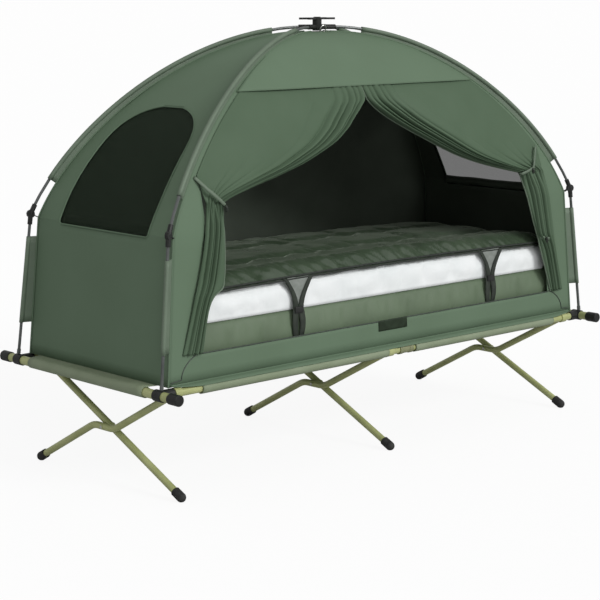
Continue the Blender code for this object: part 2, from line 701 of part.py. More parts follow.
def build_elbow(corner, place, elbow, lean, materials):
    """A knuckle that joins the two poles, with an arm whose tip holds the canopy seam."""
    name = "elbow_" + corner
    centre = place(elbow)
    reach = ELBOW_CHEEK_RADIUS / 2 + ELBOW_SOCKET_LENGTH
    up = (arc_point(elbow_share(reach)) - elbow).normalized()
    square = (place(elbow + lean) - centre).cross(place(elbow + up) - centre).normalized()
    half = ELBOW_CHEEK_THICKNESS / 2
    frame = along(centre, centre + square)
    mesh = finish_mesh(name, lathe(rod_profile(ELBOW_CHEEK_RADIUS, -half, half), frame, THIN_SIDES))
    item = new_object(name, mesh, materials["plastic"], centre)
    for part, way in (("lower_socket", -lean), ("upper_socket", up)):
        frame = along(centre, place(elbow + way))
        profile = rod_profile(ELBOW_SOCKET_RADIUS, 0, reach)
        combine(item, "UNION", part, lathe(profile, frame, THIN_SIDES))
    inward = arc_normal(0)
    tip = ARC_SEAM_DROP - CLOTH
    arm_frame = along(centre, place(elbow + inward))
    arm = block(
        (-ELBOW_ARM_WIDTH / 2, -ELBOW_ARM_THICKNESS / 2, 0),
        (ELBOW_ARM_WIDTH / 2, ELBOW_ARM_THICKNESS / 2, tip),
    )
    bmesh.ops.transform(arm, matrix=arm_frame, verts=arm.verts)
    combine(item, "UNION", "arm", arm)
    low = ELBOW_CHEEK_RADIUS / 2
    for part, way in (("lower_bore", -lean), ("upper_bore", up)):
        frame = along(centre, place(elbow + way))
        profile = rod_profile(POLE_RADIUS + POLE_FIT, low, reach + OVERRUN)
        combine(item, "DIFFERENCE", part, lathe(profile, frame, THIN_SIDES))


def hub_wings(angles, low, high):
    """Four flat wings in one plate, each over a pole and narrower at its tip."""
    shape = bmesh.new()
    points = []
    for angle, after in zip(angles, angles[1:] + (angles[0] + math.tau,)):
        way = Matrix.Rotation(angle, 4, "Z")
        for side in (-1, 1):
            tip = Vector((HUB_ARM_REACH, side * HUB_ARM_TIP_WIDTH / 2, low))
            points.append(shape.verts.new(way @ tip))
        gap = (after - angle) / 2
        root = HUB_ARM_WIDTH / 2 / math.sin(gap)
        spot = Vector((root * math.cos(angle + gap), root * math.sin(angle + gap), low))
        points.append(shape.verts.new(spot))
    face = shape.faces.new(points)
    raised = bmesh.ops.extrude_face_region(shape, geom=[face])["geom"]
    moved = [part for part in raised if isinstance(part, bmesh.types.BMVert)]
    bmesh.ops.translate(shape, vec=(0, 0, high - low), verts=moved)
    return shape


def build_hub(materials):
    """The turned top fitting, with a pole socket and a pull wing over each pole."""
    bottom = ARC_TOP_HEIGHT - TOP_SEAM_DROP + CLOTH
    wing_low = HUB_TOP - HUB_ARM_THICKNESS
    dome = HUB_ARM_THICKNESS / 2
    frame = Matrix.Identity(4)
    profile = [
        (0, bottom), (HUB_RADIUS, bottom), (HUB_RADIUS, HUB_TOP - dome),
        (HUB_RADIUS - dome, HUB_TOP), (0, HUB_TOP),
    ]
    mesh = finish_mesh("hub", lathe(profile, frame))
    item = new_object("hub", mesh, materials["plastic"], (0, 0, ARC_TOP_HEIGHT))
    turn = math.atan2(DIAGONAL_Y, DIAGONAL_X)
    angles = (turn, math.pi - turn, math.pi + turn, math.tau - turn)
    combine(item, "UNION", "wings", hub_wings(angles, wing_low, HUB_TOP - dome / 2))
    for number, angle in enumerate(angles):
        out = Matrix.Rotation(angle, 4, "Z") @ Vector((1, 0, 0))
        centre = Vector((0, 0, ARC_TOP_HEIGHT))
        socket = lathe(
            rod_profile(HUB_SOCKET_RADIUS, 0, HUB_SOCKET_REACH), along(centre, centre + out), THIN_SIDES,
        )
        combine(item, "UNION", "socket_" + str(number), socket)
    for number, angle in enumerate(angles):
        out = Matrix.Rotation(angle, 4, "Z") @ Vector((1, 0, 0))
        centre = Vector((0, 0, ARC_TOP_HEIGHT))
        hole = rod_profile(POLE_RADIUS + POLE_FIT, ARC_TOP_OUT - FIT, HUB_SOCKET_REACH + OVERRUN)
        bore = lathe(hole, along(centre, centre + out), THIN_SIDES)
        combine(item, "DIFFERENCE", "bore_" + str(number), bore)


# Tent cloth

def sheet_from_rows(rows):
    """A sheet of quads from rows of points; None leaves a place out."""
    shape = bmesh.new()
    made = [[None if spot is None else shape.verts.new(spot) for spot in row] for row in rows]
    for lower, upper in zip(made, made[1:]):
        for place in range(len(lower) - 1):
            corners = (lower[place], lower[place + 1], upper[place + 1], upper[place])
            if None not in corners:
                shape.faces.new(corners)
    bmesh.ops.recalc_face_normals(shape, faces=shape.faces)
    return shape


def face_outwards(shape, outward):
    """Turns an open sheet so that its faces look along a direction on the whole."""
    total = sum((face.normal * face.calc_area() for face in shape.faces), Vector())
    if total.dot(Vector(outward)) < 0:
        bmesh.ops.reverse_faces(shape, faces=shape.faces)


def cloth_object(name, shape, outward, material, thickness=CLOTH, even=True):
    face_outwards(shape, outward)
    mesh = bpy.data.meshes.new(name)
    shape.to_mesh(mesh)
    shape.free()
    mesh.shade_smooth()
    item = new_object(name, mesh, material, (0, 0, TENT_BASE))
    wall = item.modifiers.new("cloth_thickness", "SOLIDIFY")
    wall.thickness = thickness
    wall.offset = -1
    wall.use_even_offset = even
    return item


def sleeve_tip(point, share, foot, elbow):
    """Where a corner sleeve ends, just short of the pole, or None where the pole is bare."""
    if share is None:
        if point.y < LOWER_SLEEVE_BOTTOM - FIT or point.y > LOWER_SLEEVE_TOP + FIT:
            return None
        along_pole = (point.y - foot.y) / (elbow.y - foot.y)
        pole = foot.lerp(elbow, along_pole)
        return Vector((pole.x - POLE_RADIUS - FIT, point.y))
    if share < ARC_SLEEVE_START or share > ARC_SLEEVE_END:
        return None
    return arc_point(share) + arc_normal(share) * (POLE_RADIUS + FIT)


def build_long_side(name, y_sign, materials):
    """The front or back panel, with the sleeves that hold its corner seams to the poles."""
    foot, elbow = lower_pole_ends()
    rows = []
    for point, share in seam_rows():
        tip = sleeve_tip(point, share, foot, elbow)
        row = [
            corner_place(point.x, point.y, -1, y_sign),
            corner_place(point.x, point.y, 1, y_sign),
        ]
        if tip is None:
            rows.append([None] + row + [None])
        else:
            rows.append(
                [corner_place(tip.x, tip.y, -1, y_sign)] + row + [corner_place(tip.x, tip.y, 1, y_sign)]
            )
    top = seam_point(1)
    middle = FIT / 2
    rows.append([
        None,
        Vector((-top.x * DIAGONAL_X, y_sign * middle, top.y)),
        Vector((top.x * DIAGONAL_X, y_sign * middle, top.y)),
        None,
    ])
    return cloth_object(name, sheet_from_rows(rows), (0, y_sign, 0), materials["cloth"])


def build_end_panel(name, x_sign, materials):
    rows = []
    for point, _ in seam_rows():
        corner = corner_place(point.x, point.y, x_sign, 1)
        half = corner.y - CORNER_GAP
        rows.append([Vector((corner.x, -half, corner.z)), Vector((corner.x, half, corner.z))])
    top = rows[-1][0].x
    for spot in rows[-1]:
        spot.x = top + x_sign * FIT
    return cloth_object(name, sheet_from_rows(rows), (x_sign, 0, 0), materials["cloth"])


def door_outline():
    """The cut of the door: a level sill, and sides that keep a margin to the corner seams."""
    side = [(DOOR_HALF, SILL_TOP)]
    for step in range(DOOR_STEPS + 1):
        height = DOOR_SHOULDER + (DOOR_TOP - DOOR_SHOULDER) * step / DOOR_STEPS
        out = seam_out(height) * DIAGONAL_X - DOOR_MARGIN
        side.append((min(DOOR_SHOULDER_HALF, out), height))
    return side + [(-x, z) for x, z in reversed(side)]


def window_outline(margin):
    """A mesh window: level below, upright sides that lean in, and an arched top."""
    side = [(WINDOW_BOTTOM_HALF + margin, WINDOW_BOTTOM - margin)]
    side.append((WINDOW_BOTTOM_HALF + margin, WINDOW_BOTTOM + WINDOW_BOTTOM_HALF / 3))
    for step in range(WINDOW_STEPS):
        angle = math.radians(90) * step / WINDOW_STEPS
        side.append((
            (WINDOW_SHOULDER_HALF + margin) * math.cos(angle),
            WINDOW_SHOULDER + (WINDOW_TOP + margin - WINDOW_SHOULDER) * math.sin(angle),
        ))
    top = [(0, WINDOW_TOP + margin)]
    return side + top + [(-y, z) for y, z in reversed(side)]


def build_canopy(materials):
    front = build_long_side("canopy_front", -1, materials)
    deep = POLE_FOOT_Y + OVERRUN
    combine(front, "DIFFERENCE", "door", prism(door_outline(), "Y", -deep, -OVERRUN))
    build_long_side("canopy_back", 1, materials)
    wide = POLE_FOOT_X + OVERRUN
    for end, sign in LEFT_AND_RIGHT:
        panel = build_end_panel("canopy_" + end, sign, materials)
        reach = sorted((sign * OVERRUN, sign * wide))
        combine(panel, "DIFFERENCE", "window", prism(window_outline(0), "X", *reach))
        build_window(end, sign, materials)


def build_window(end, sign, materials):
    """The mesh in an end panel's window, its edge just inside the cut."""
    rows = []
    for point, _ in seam_rows():
        corner = corner_place(point.x, point.y, sign, 1)
        half = corner.y - CORNER_GAP
        inset = (CLOTH - WINDOW_MESH_THICKNESS) / 2
        rows.append([
            Vector((corner.x - sign * inset, -half, corner.z)),
            Vector((corner.x - sign * inset, half, corner.z)),
        ])
    item = cloth_object(
        "window_mesh_" + end, sheet_from_rows(rows), (sign, 0, 0), materials["mesh"], WINDOW_MESH_THICKNESS,
    )
    reach = sorted((sign * OVERRUN, sign * (POLE_FOOT_X + OVERRUN)))
    combine(item, "INTERSECT", "edge", prism(window_outline(-FIT), "X", *reach))


def front_y(height):
    """The front panel's outer face at a height."""
    return -seam_out(height) * DIAGONAL_Y


def build_rain_flap(materials):
    """The flap that covers the top of the door, sewn along its upper edge."""
    rows = []
    for step in range(FLAP_STEPS + 1):
        share = step / FLAP_STEPS
        height = FLAP_BOTTOM + (FLAP_TOP - FLAP_BOTTOM) * share
        half = seam_out(height) * DIAGONAL_X - ARC_SEAM_DROP
        y = front_y(height) - FLAP_STANDOFF * (1 - share) - FLAP_SEAM_STANDOFF
        rows.append([Vector((-half, y, height)), Vector((half, y, height))])
    cloth_object("door_rain_flap", sheet_from_rows(rows), (0, -1, 0), materials["cloth"])


def build_floor(materials):
    out = POLE_FOOT_OUT - BASE_INSET
    half_x = out * DIAGONAL_X - CLOTH - FIT - FIT
    half_y = out * DIAGONAL_Y - CLOTH - FIT - FIT
    shape = block((-half_x, -half_y, TENT_BASE), (half_x, half_y, TENT_BASE + CLOTH))
    new_object("tent_floor", finish_mesh("floor", shape, False), materials["deck"], (0, 0, TENT_BASE))


# Door curtains

def curtain_head(share, sign):
    """The curtain's top edge: along the flap seam, then down beside the corner seam."""
    height = FLAP_BOTTOM
    level = min(share / CURTAIN_HEAD_SHARE, 1)
    if share > CURTAIN_HEAD_SHARE:
        drop = (share - CURTAIN_HEAD_SHARE) / (1 - CURTAIN_HEAD_SHARE)
        height += (TIE_ANCHOR_HEIGHT - FLAP_BOTTOM) * drop
    out = seam_out(height) * DIAGONAL_X - ARC_SEAM_DROP
    return Vector((sign * out * level, height))


def curtain_point(across, down, sign):
    """A point of the tied curtain; across runs from its free edge, down from head to sill."""
    tie = Vector((sign * (CURTAIN_TIE_OUT + CURTAIN_TIE_WIDTH * across), CURTAIN_TIE_HEIGHT))
    wave = (1 - math.cos(math.tau * CURTAIN_FOLDS * across)) / 2
    if down <= 1:
        head = curtain_head(across, sign)
        standoff = CURTAIN_STANDOFF
        spot = head.lerp(tie, down)
        spot.y -= CURTAIN_SAG * (1 - across) * math.sin(math.pi * down ** 0.6)
        depth = CURTAIN_FOLD_DEPTH * math.sin(math.pi * min(down, 0.85) * 0.8)
    else:
        fall = down - 1
        foot = Vector((
            sign * (CURTAIN_FOOT_INNER + (CURTAIN_FOOT_OUTER - CURTAIN_FOOT_INNER) * across),
            SILL_TOP + FIT,
        ))
        spot = tie.lerp(foot, fall)
        swell = math.sin(math.pi * fall)
        spot.x += sign * (across - 0.5) * CURTAIN_TIE_WIDTH * swell / 2
        depth = CURTAIN_FOLD_DEPTH * (TIED_FOLD_SHARE + swell / 4)
        standoff = CURTAIN_STANDOFF + (CLOTH + FIT - CURTAIN_STANDOFF) * fall
    y = front_y(spot.y) - standoff - depth * wave
    return Vector((spot.x, y, spot.y))


def build_curtains(materials):
    across_steps = CURTAIN_FOLDS * FOLD_STEPS
    for end, sign in LEFT_AND_RIGHT:
        rows = []
        for row in range(CURTAIN_HEAD_STEPS + CURTAIN_FALL_STEPS + 1):
            down = row / CURTAIN_HEAD_STEPS
            if row > CURTAIN_HEAD_STEPS:
                down = 1 + (row - CURTAIN_HEAD_STEPS) / CURTAIN_FALL_STEPS
            rows.append([
                curtain_point(place / across_steps, down, sign) for place in range(across_steps + 1)
            ])
        name = "door_curtain_" + end
        cloth_object(name, sheet_from_rows(rows), (0, -1, 0), materials["cloth"], CLOTH, False)
        build_tie(end, sign, materials)


def build_tie(end, sign, materials):
    """The strap that holds a curtain back, from the corner seam over the gathered cloth."""
    over = CURTAIN_STANDOFF + CURTAIN_FOLD_DEPTH + CLOTH + FIT
    half = TIE_STRAP_WIDTH / 2
    anchor = seam_out(TIE_ANCHOR_HEIGHT) * DIAGONAL_X - TIE_ANCHOR_INSET
    inner = CURTAIN_TIE_OUT - FIT
    front = front_y(CURTAIN_TIE_HEIGHT) - over
    path = [
        (sign * anchor, front_y(TIE_ANCHOR_HEIGHT) - over / 2, TIE_ANCHOR_HEIGHT),
        (sign * (CURTAIN_TIE_OUT + CURTAIN_TIE_WIDTH), front - FIT, CURTAIN_TIE_HEIGHT + half),
        (sign * inner, front - FIT, CURTAIN_TIE_HEIGHT - half / 2),
        (sign * (inner - half), front + over / 2, CURTAIN_TIE_HEIGHT - half),
    ]
    rows = []
    for x, y, z in path:
        rows.append([Vector((x, y, z - half)), Vector((x, y, z + half))])
    shape = sheet_from_rows(rows)
    cloth_object("curtain_tie_" + end, shape, (0, 1, 0), materials["webbing"], TIE_STRAP_THICKNESS)


# Bed

def cushion(name, half_length, half_width, low, high, crown, bulge, cuts, material):
    """A filled pad: its sides swell and pull in at the corners, and its top is crowned."""
    shape = bmesh.new()
    bmesh.ops.create_grid(shape, x_segments=cuts[0], y_segments=cuts[1], size=1)
    bottom = shape.faces[:]
    raised = bmesh.ops.extrude_face_region(shape, geom=bottom)["geom"]
    top = [part for part in raised if isinstance(part, bmesh.types.BMVert)]
    bmesh.ops.translate(shape, vec=(0, 0, 1), verts=top)
    upright = [edge for edge in shape.edges if abs(edge.verts[0].co.z - edge.verts[1].co.z) > 0.5]
    bmesh.ops.subdivide_edges(shape, edges=upright, cuts=cuts[2], use_grid_fill=True)
    for vert in shape.verts:
        x, y, z = vert.co
        middle_x = 1 - x ** 4
        middle_y = 1 - y ** 4
        belly = math.sin(math.pi * z)
        edge = bulge * (1 - belly)
        vert.co.x = x * (half_length - edge)
        vert.co.y = y * (half_width - edge)
        vert.co.z = low + (high - low) * z + crown * z * middle_x * middle_y
    mesh = finish_mesh(name, shape)
    return new_object(name, mesh, material, (0, 0, low))


def build_bed(materials):
    floor = TENT_BASE + CLOTH + FIT
    cushion(
        "mattress", MATTRESS_HALF_LENGTH, MATTRESS_HALF_WIDTH, floor, MATTRESS_TOP,
        0, MATTRESS_BULGE, (12, 6, 3), materials["mattress"],
    )
    cushion(
        "white_pad", PAD_HALF_LENGTH, PAD_HALF_WIDTH, MATTRESS_TOP + FIT, PAD_TOP,
        0, PAD_BULGE, (12, 6, 3), materials["pad"],
    )
    quilt_top = QUILT_BASE + QUILT_EDGE
    cushion(
        "sleeping_bag", QUILT_HALF_LENGTH, QUILT_HALF_WIDTH, QUILT_BASE, quilt_top,
        QUILT_CROWN, QUILT_BULGE, (16, 10, 2), materials["quilt"],
    )
    for end, place in (("left", LEFT_STRAP_PLACE), ("right", RIGHT_STRAP_PLACE)):
        build_bed_strap("bed_strap_" + end, place, materials)


def build_bed_strap(name, place, materials):
    """Two webbing ends that meet in a buckle and run down the mattress front."""
    top = QUILT_BASE + QUILT_EDGE / 2
    spread = BED_STRAP_SPREAD / 2
    width = BED_STRAP_WIDTH
    outline = [
        (place - spread - width / 2, top), (place - width / 2, BED_STRAP_JOIN),
        (place - width / 2, BED_STRAP_FOOT), (place + width / 2, BED_STRAP_FOOT),
        (place + width / 2, BED_STRAP_JOIN), (place + spread + width / 2, top),
        (place + spread - width / 2, top), (place, BED_STRAP_JOIN + width),
        (place - spread + width / 2, top),
    ]
    back = -MATTRESS_HALF_WIDTH - FIT
    shape = prism(outline, "Y", back - BED_STRAP_THICKNESS, back)
    mesh = finish_mesh(name, shape, False)
    new_object(name, mesh, materials["webbing"], (place, back, BED_STRAP_JOIN))


def build():
    clear_scene()
    materials = make_materials()
    build_rails(materials)
    build_end_bars(materials)
    build_legs(materials)
    build_deck(materials)
    build_poles(materials)
    build_hub(materials)
    build_canopy(materials)
    build_rain_flap(materials)
    build_floor(materials)
    build_curtains(materials)
    build_bed(materials)


build()
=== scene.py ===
"""A folding cot with a pop-up dome tent and its bed, dressed as it was photographed.

The sections follow the way it is put together: the steel cot, its deck cloth, the tent's poles
and top fitting, the sewn tent, the door curtains, and the bed inside.
"""
import math

import bmesh
import bpy
from mathutils import Matrix, Vector, noise


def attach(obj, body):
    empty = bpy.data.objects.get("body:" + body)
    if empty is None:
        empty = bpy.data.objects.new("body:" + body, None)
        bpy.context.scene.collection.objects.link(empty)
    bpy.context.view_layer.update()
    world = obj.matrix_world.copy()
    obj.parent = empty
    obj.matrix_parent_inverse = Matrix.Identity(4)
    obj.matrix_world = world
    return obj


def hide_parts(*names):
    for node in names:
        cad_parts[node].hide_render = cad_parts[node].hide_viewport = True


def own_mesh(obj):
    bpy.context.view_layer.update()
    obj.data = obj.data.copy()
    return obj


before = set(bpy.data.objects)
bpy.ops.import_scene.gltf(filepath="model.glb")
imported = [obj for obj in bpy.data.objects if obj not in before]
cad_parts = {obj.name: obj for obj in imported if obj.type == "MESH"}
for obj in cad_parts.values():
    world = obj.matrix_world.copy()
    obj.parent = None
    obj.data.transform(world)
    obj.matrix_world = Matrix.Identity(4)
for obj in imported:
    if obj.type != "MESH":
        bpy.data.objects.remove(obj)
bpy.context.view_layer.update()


# Camera
# The photograph looks down a little at the cot's front left corner, from about six metres off.
camera_data = bpy.data.cameras.new("photograph_camera")
camera_data.sensor_width = 36
camera_data.lens = 107.1324
camera = bpy.data.objects.new("photograph_camera", camera_data)
camera.location = (-4.0511, -4.2610, 1.4799)
camera.rotation_euler = (math.radians(80.1042), 0, math.radians(-43.0135))
bpy.context.scene.collection.objects.link(camera)
bpy.context.scene.camera = camera


# Floor and lights
# A plain white floor that keeps the cot's soft shadow, a broad sun from the door side, a weak
# one from the left, and an even pale sky.
def link_node(tree, kind, **inputs):
    node = tree.nodes.new(kind)
    for name, value in inputs.items():
        node.inputs[name.replace("_", " ")].default_value = value
    return node


floor_shape = bmesh.new()
bmesh.ops.create_grid(floor_shape, x_segments=2, y_segments=2, size=200)
floor_mesh = bpy.data.meshes.new("studio_floor")
floor_shape.to_mesh(floor_mesh)
floor_shape.free()
floor = bpy.data.objects.new("studio_floor", floor_mesh)
floor.location.z = -0.0005
bpy.context.scene.collection.objects.link(floor)
floor_paper = bpy.data.materials.new("white_floor")
floor_paper.use_nodes = True
tree = floor_paper.node_tree
shader = tree.nodes["Principled BSDF"]
shader.inputs["Base Color"].default_value = (0.52, 0.52, 0.52, 1)
shader.inputs["Roughness"].default_value = 0.9
glow = link_node(tree, "ShaderNodeEmission", Color=(1, 1, 1, 1), Strength=1.1)
rays = tree.nodes.new("ShaderNodeLightPath")
share = tree.nodes.new("ShaderNodeMath")
share.operation = "MULTIPLY"
share.inputs[1].default_value = 0.82
blend = tree.nodes.new("ShaderNodeMixShader")
tree.links.new(rays.outputs["Is Camera Ray"], share.inputs[0])
tree.links.new(share.outputs[0], blend.inputs[0])
tree.links.new(shader.outputs[0], blend.inputs[1])
tree.links.new(glow.outputs[0], blend.inputs[2])
tree.links.new(blend.outputs[0], tree.nodes["Material Output"].inputs["Surface"])
floor_mesh.materials.append(floor_paper)

world = bpy.data.worlds.new("pale_sky")
bpy.context.scene.world = world
world.use_nodes = True
tree = world.node_tree
sky = tree.nodes["Background"]
sky.inputs["Color"].default_value = (1, 1, 1, 1)
sky.inputs["Strength"].default_value = 0.52
backdrop = link_node(tree, "ShaderNodeBackground", Color=(1, 1, 1, 1), Strength=1.0)
rays = tree.nodes.new("ShaderNodeLightPath")
seen = tree.nodes.new("ShaderNodeMath")
seen.operation = "MAXIMUM"
blend = tree.nodes.new("ShaderNodeMixShader")
tree.links.new(rays.outputs["Is Camera Ray"], seen.inputs[0])
tree.links.new(rays.outputs["Is Transmission Ray"], seen.inputs[1])
tree.links.new(seen.outputs[0], blend.inputs[0])
tree.links.new(sky.outputs[0], blend.inputs[1])
tree.links.new(backdrop.outputs[0], blend.inputs[2])
tree.links.new(blend.outputs[0], tree.nodes["World Output"].inputs["Surface"])

for name, energy, turn in (("broad_sun", 1.72, 14), ("left_sun", 0.38, -26)):
    sun_data = bpy.data.lights.new(name, "SUN")
    sun_data.energy = energy
    sun_data.angle = math.radians(24)
    sun = bpy.data.objects.new(name, sun_data)
    sun.rotation_euler = (math.radians(60), 0, math.radians(turn))
    bpy.context.scene.collection.objects.link(sun)
bpy.context.scene.view_settings.view_transform = "Standard"


# Painted steel tubes
# The rails, end bars and crossed legs are steel tube, sprayed a satin olive green that has
# rubbed a little lighter here and there.
def new_finish(name, colour, roughness, metallic=0.0, **inputs):
    finish = bpy.data.materials.new(name)
    finish.use_nodes = True
    shader = finish.node_tree.nodes["Principled BSDF"]
    shader.inputs["Base Color"].default_value = (*colour, 1)
    shader.inputs["Roughness"].default_value = roughness
    shader.inputs["Metallic"].default_value = metallic
    for key, value in inputs.items():
        shader.inputs[key.replace("_", " ")].default_value = value
    return finish


def mottle(finish, scale, low, high, detail=3.0):
    """Varies a finish's colour between two tones with a soft noise on Object coordinates."""
    tree = finish.node_tree
    shader = tree.nodes["Principled BSDF"]
    place = tree.nodes.new("ShaderNodeTexCoord")
    cloud = link_node(tree, "ShaderNodeTexNoise", Scale=scale, Detail=detail)
    ramp = tree.nodes.new("ShaderNodeValToRGB")
    ramp.color_ramp.elements[0].position = 0.35
    ramp.color_ramp.elements[1].position = 0.65
    ramp.color_ramp.elements[0].color = (*low, 1)
    ramp.color_ramp.elements[1].color = (*high, 1)
    tree.links.new(place.outputs["Object"], cloud.inputs["Vector"])
    tree.links.new(cloud.outputs[0], ramp.inputs[0])
    tree.links.new(ramp.outputs[0], shader.inputs["Base Color"])


def add_relief(tree, height, strength, distance):
    """Bumps a finish by a height, over any relief already there."""
    shader = tree.nodes["Principled BSDF"]
    relief = link_node(tree, "ShaderNodeBump", Strength=strength, Distance=distance)
    under = shader.inputs["Normal"].links
    if under:
        tree.links.new(under[0].from_socket, relief.inputs["Normal"])
    tree.links.new(height, relief.inputs["Height"])
    tree.links.new(relief.outputs[0], shader.inputs["Normal"])


def grain(finish, scale, distance, strength=0.5, detail=2.0, stretch=(1, 1, 1)):
    """Adds fine relief from a noise on Object coordinates."""
    tree = finish.node_tree
    place = tree.nodes.new("ShaderNodeTexCoord")
    size = tree.nodes.new("ShaderNodeMapping")
    size.inputs["Scale"].default_value = stretch
    cloud = link_node(tree, "ShaderNodeTexNoise", Scale=scale, Detail=detail)
    tree.links.new(place.outputs["Object"], size.inputs["Vector"])
    tree.links.new(size.outputs[0], cloud.inputs["Vector"])
    add_relief(tree, cloud.outputs[0], strength, distance)


def dress_nodes(names, finish):
    for name in names:
        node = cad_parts[name]
        node.data.materials.clear()
        node.data.materials.append(finish)


tube_paint = new_finish("olive_tube_paint", (0.40, 0.43, 0.19), 0.34, 0.1)
mottle(tube_paint, 14, (0.355, 0.385, 0.162), (0.435, 0.465, 0.215))
grain(tube_paint, 900, 0.00006, 0.4)
tube_names = ["left_end_bar", "right_end_bar"]
for side in ("front", "back"):
    tube_names += [side + "_rail_left", side + "_rail_right"]
for pair in ("left", "middle", "right"):
    tube_names += [pair + "_straight_leg", pair + "_cranked_leg"]
dress_nodes(tube_names, tube_paint)


# Bar caps, collars and rail hinges
# Moulded black nylon: push-on bar caps and the T collars at the four corners. The fittings where
# each rail folds in its middle are olive. The mould leaves a fine matte grain.
black_nylon = new_finish("moulded_black_nylon", (0.014, 0.015, 0.014), 0.46, Specular_IOR_Level=0.3)
mottle(black_nylon, 30, (0.011, 0.012, 0.011), (0.020, 0.021, 0.020))
grain(black_nylon, 1400, 0.00005, 0.5)
fitting_names = ["hub"]
for side in ("front", "back"):
    for end in ("left", "right"):
        fitting_names += [
            end + "_" + side + "_bar_cap", end + "_" + side + "_corner_collar",
            "elbow_" + side + "_" + end,
        ]
dress_nodes(fitting_names, black_nylon)
olive_nylon = new_finish("moulded_olive_nylon", (0.20, 0.215, 0.115), 0.42)
mottle(olive_nylon, 30, (0.18, 0.195, 0.10), (0.23, 0.245, 0.135))
grain(olive_nylon, 1400, 0.00005, 0.5)
dress_nodes(["front_rail_hinge_fitting", "back_rail_hinge_fitting"], olive_nylon)


# Rubber feet
# Each leg stands in a black rubber cup, dulled and dusty where it meets the ground.
foot_rubber = new_finish("black_foot_rubber", (0.013, 0.013, 0.013), 0.78)
mottle(foot_rubber, 45, (0.010, 0.010, 0.010), (0.026, 0.026, 0.024))
grain(foot_rubber, 700, 0.00012, 0.5)
foot_names = []
for pair in ("left", "middle", "right"):
    foot_names += [pair + "_straight_leg_foot", pair + "_cranked_leg_foot"]
dress_nodes(foot_names, foot_rubber)


# Leg rivets
# A zinc-plated dome rivet holds each pair of legs where they cross; its two heads show.
def new_piece(name, shape, finish, body, smooth=35):
    """Makes an object of a closed or finished shape and lets it ride on a body."""
    mesh = bpy.data.meshes.new(name)
    shape.to_mesh(mesh)
    shape.free()
    mesh.shade_smooth()
    if smooth:
        mesh.set_sharp_from_angle(angle=math.radians(smooth))
    mesh.materials.append(finish)
    piece = bpy.data.objects.new(name, mesh)
    bpy.context.scene.collection.objects.link(piece)
    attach(piece, body)
    return piece


rivet_zinc = new_finish("zinc_rivet", (0.52, 0.52, 0.50), 0.30, 0.9)
mottle(rivet_zinc, 300, (0.42, 0.42, 0.40), (0.58, 0.58, 0.56))
grain(rivet_zinc, 1500, 0.00003, 0.4)
pair_spacing = 0.876
leg_offset = 0.0125
rivet_height = 0.17005
for pair, pair_x in (("left", -pair_spacing), ("middle", 0.0), ("right", pair_spacing)):
    shape = bmesh.new()
    for way, head_x in ((1, pair_x + leg_offset + 0.0132), (-1, pair_x - leg_offset - 0.0135)):
        arc = [(0.0001, 0.0016), (0.0030, 0.0012), (0.0052, 0.0003), (0.0054, -0.0006)]
        points = [shape.verts.new((radius, 0, high)) for radius, high in arc]
        edges = [shape.edges.new(ends) for ends in zip(points, points[1:])]
        spun = bmesh.ops.spin(
            shape, geom=points + edges, axis=(0, 0, 1), cent=(0, 0, 0), angle=math.tau,
            steps=20, use_merge=True,
        )
        made = [vert for vert in shape.verts if abs(vert.co.x) < 0.01 and abs(vert.co.y) < 0.01]
        turn = Matrix.Rotation(way * math.radians(90), 4, "Y")
        place = Matrix.Translation((head_x, 0, rivet_height)) @ turn
        bmesh.ops.transform(shape, matrix=place, verts=made)
    bmesh.ops.remove_doubles(shape, verts=shape.verts, dist=0.00001)
    bmesh.ops.holes_fill(shape, edges=shape.edges, sides=0)
    bmesh.ops.recalc_face_normals(shape, faces=shape.faces)
    new_piece(pair + "_rivet_heads", shape, rivet_zinc, pair + "_straight")


# Deck cloth
# A heavy polyester sheet, hemmed into open-seamed sleeves that slide over the rails and the
# end bars before the cot is opened. It gives the frame its spread.
def weave(finish, pitch, distance, strength=0.5):
    """Adds the over-and-under relief of a plain weave, in metres on the piece's own UV map."""
    tree = finish.node_tree
    place = tree.nodes.new("ShaderNodeTexCoord")
    threads = []
    for direction in ("X", "Y"):
        thread = link_node(tree, "ShaderNodeTexWave", Scale=math.tau / 20 / pitch)
        thread.wave_type = "BANDS"
        thread.bands_direction = direction
        tree.links.new(place.outputs["UV"], thread.inputs["Vector"])
        threads.append(thread)
    cross = tree.nodes.new("ShaderNodeMath")
    cross.operation = "MAXIMUM"
    tree.links.new(threads[0].outputs["Fac"], cross.inputs[0])
    tree.links.new(threads[1].outputs["Fac"], cross.inputs[1])
    add_relief(tree, cross.outputs[0], strength, distance)


def cloth_grid(columns, rows, size, place, opening=None):
    """A grid laid by a function of its two shares, with its UV map in metres of flat cloth."""
    shape = bmesh.new()
    bmesh.ops.create_grid(shape, x_segments=columns, y_segments=rows, size=1)
    cut = shape.loops.layers.uv.new("cut")
    gone = []
    for face in shape.faces:
        for loop in face.loops:
            across = (loop.vert.co.x + 1) / 2
            along = (loop.vert.co.y + 1) / 2
            loop[cut].uv = (across * size[0], along * size[1])
        middle = face.calc_center_median()
        if opening is not None and opening((middle.x + 1) / 2, (middle.y + 1) / 2):
            gone.append(face)
    bmesh.ops.delete(shape, geom=gone, context="FACES")
    for vert in shape.verts:
        vert.co = place((vert.co.x + 1) / 2, (vert.co.y + 1) / 2)
    bmesh.ops.remove_doubles(shape, verts=shape.verts, dist=0.00001)
    bmesh.ops.recalc_face_normals(shape, faces=shape.faces)
    return shape


def look_outwards(shape, outward):
    """Turns an open sheet so that its faces look along a direction on the whole."""
    total = sum((face.normal * face.calc_area() for face in shape.faces), Vector())
    if total.dot(Vector(outward)) < 0:
        bmesh.ops.reverse_faces(shape, faces=shape.faces)
    return shape


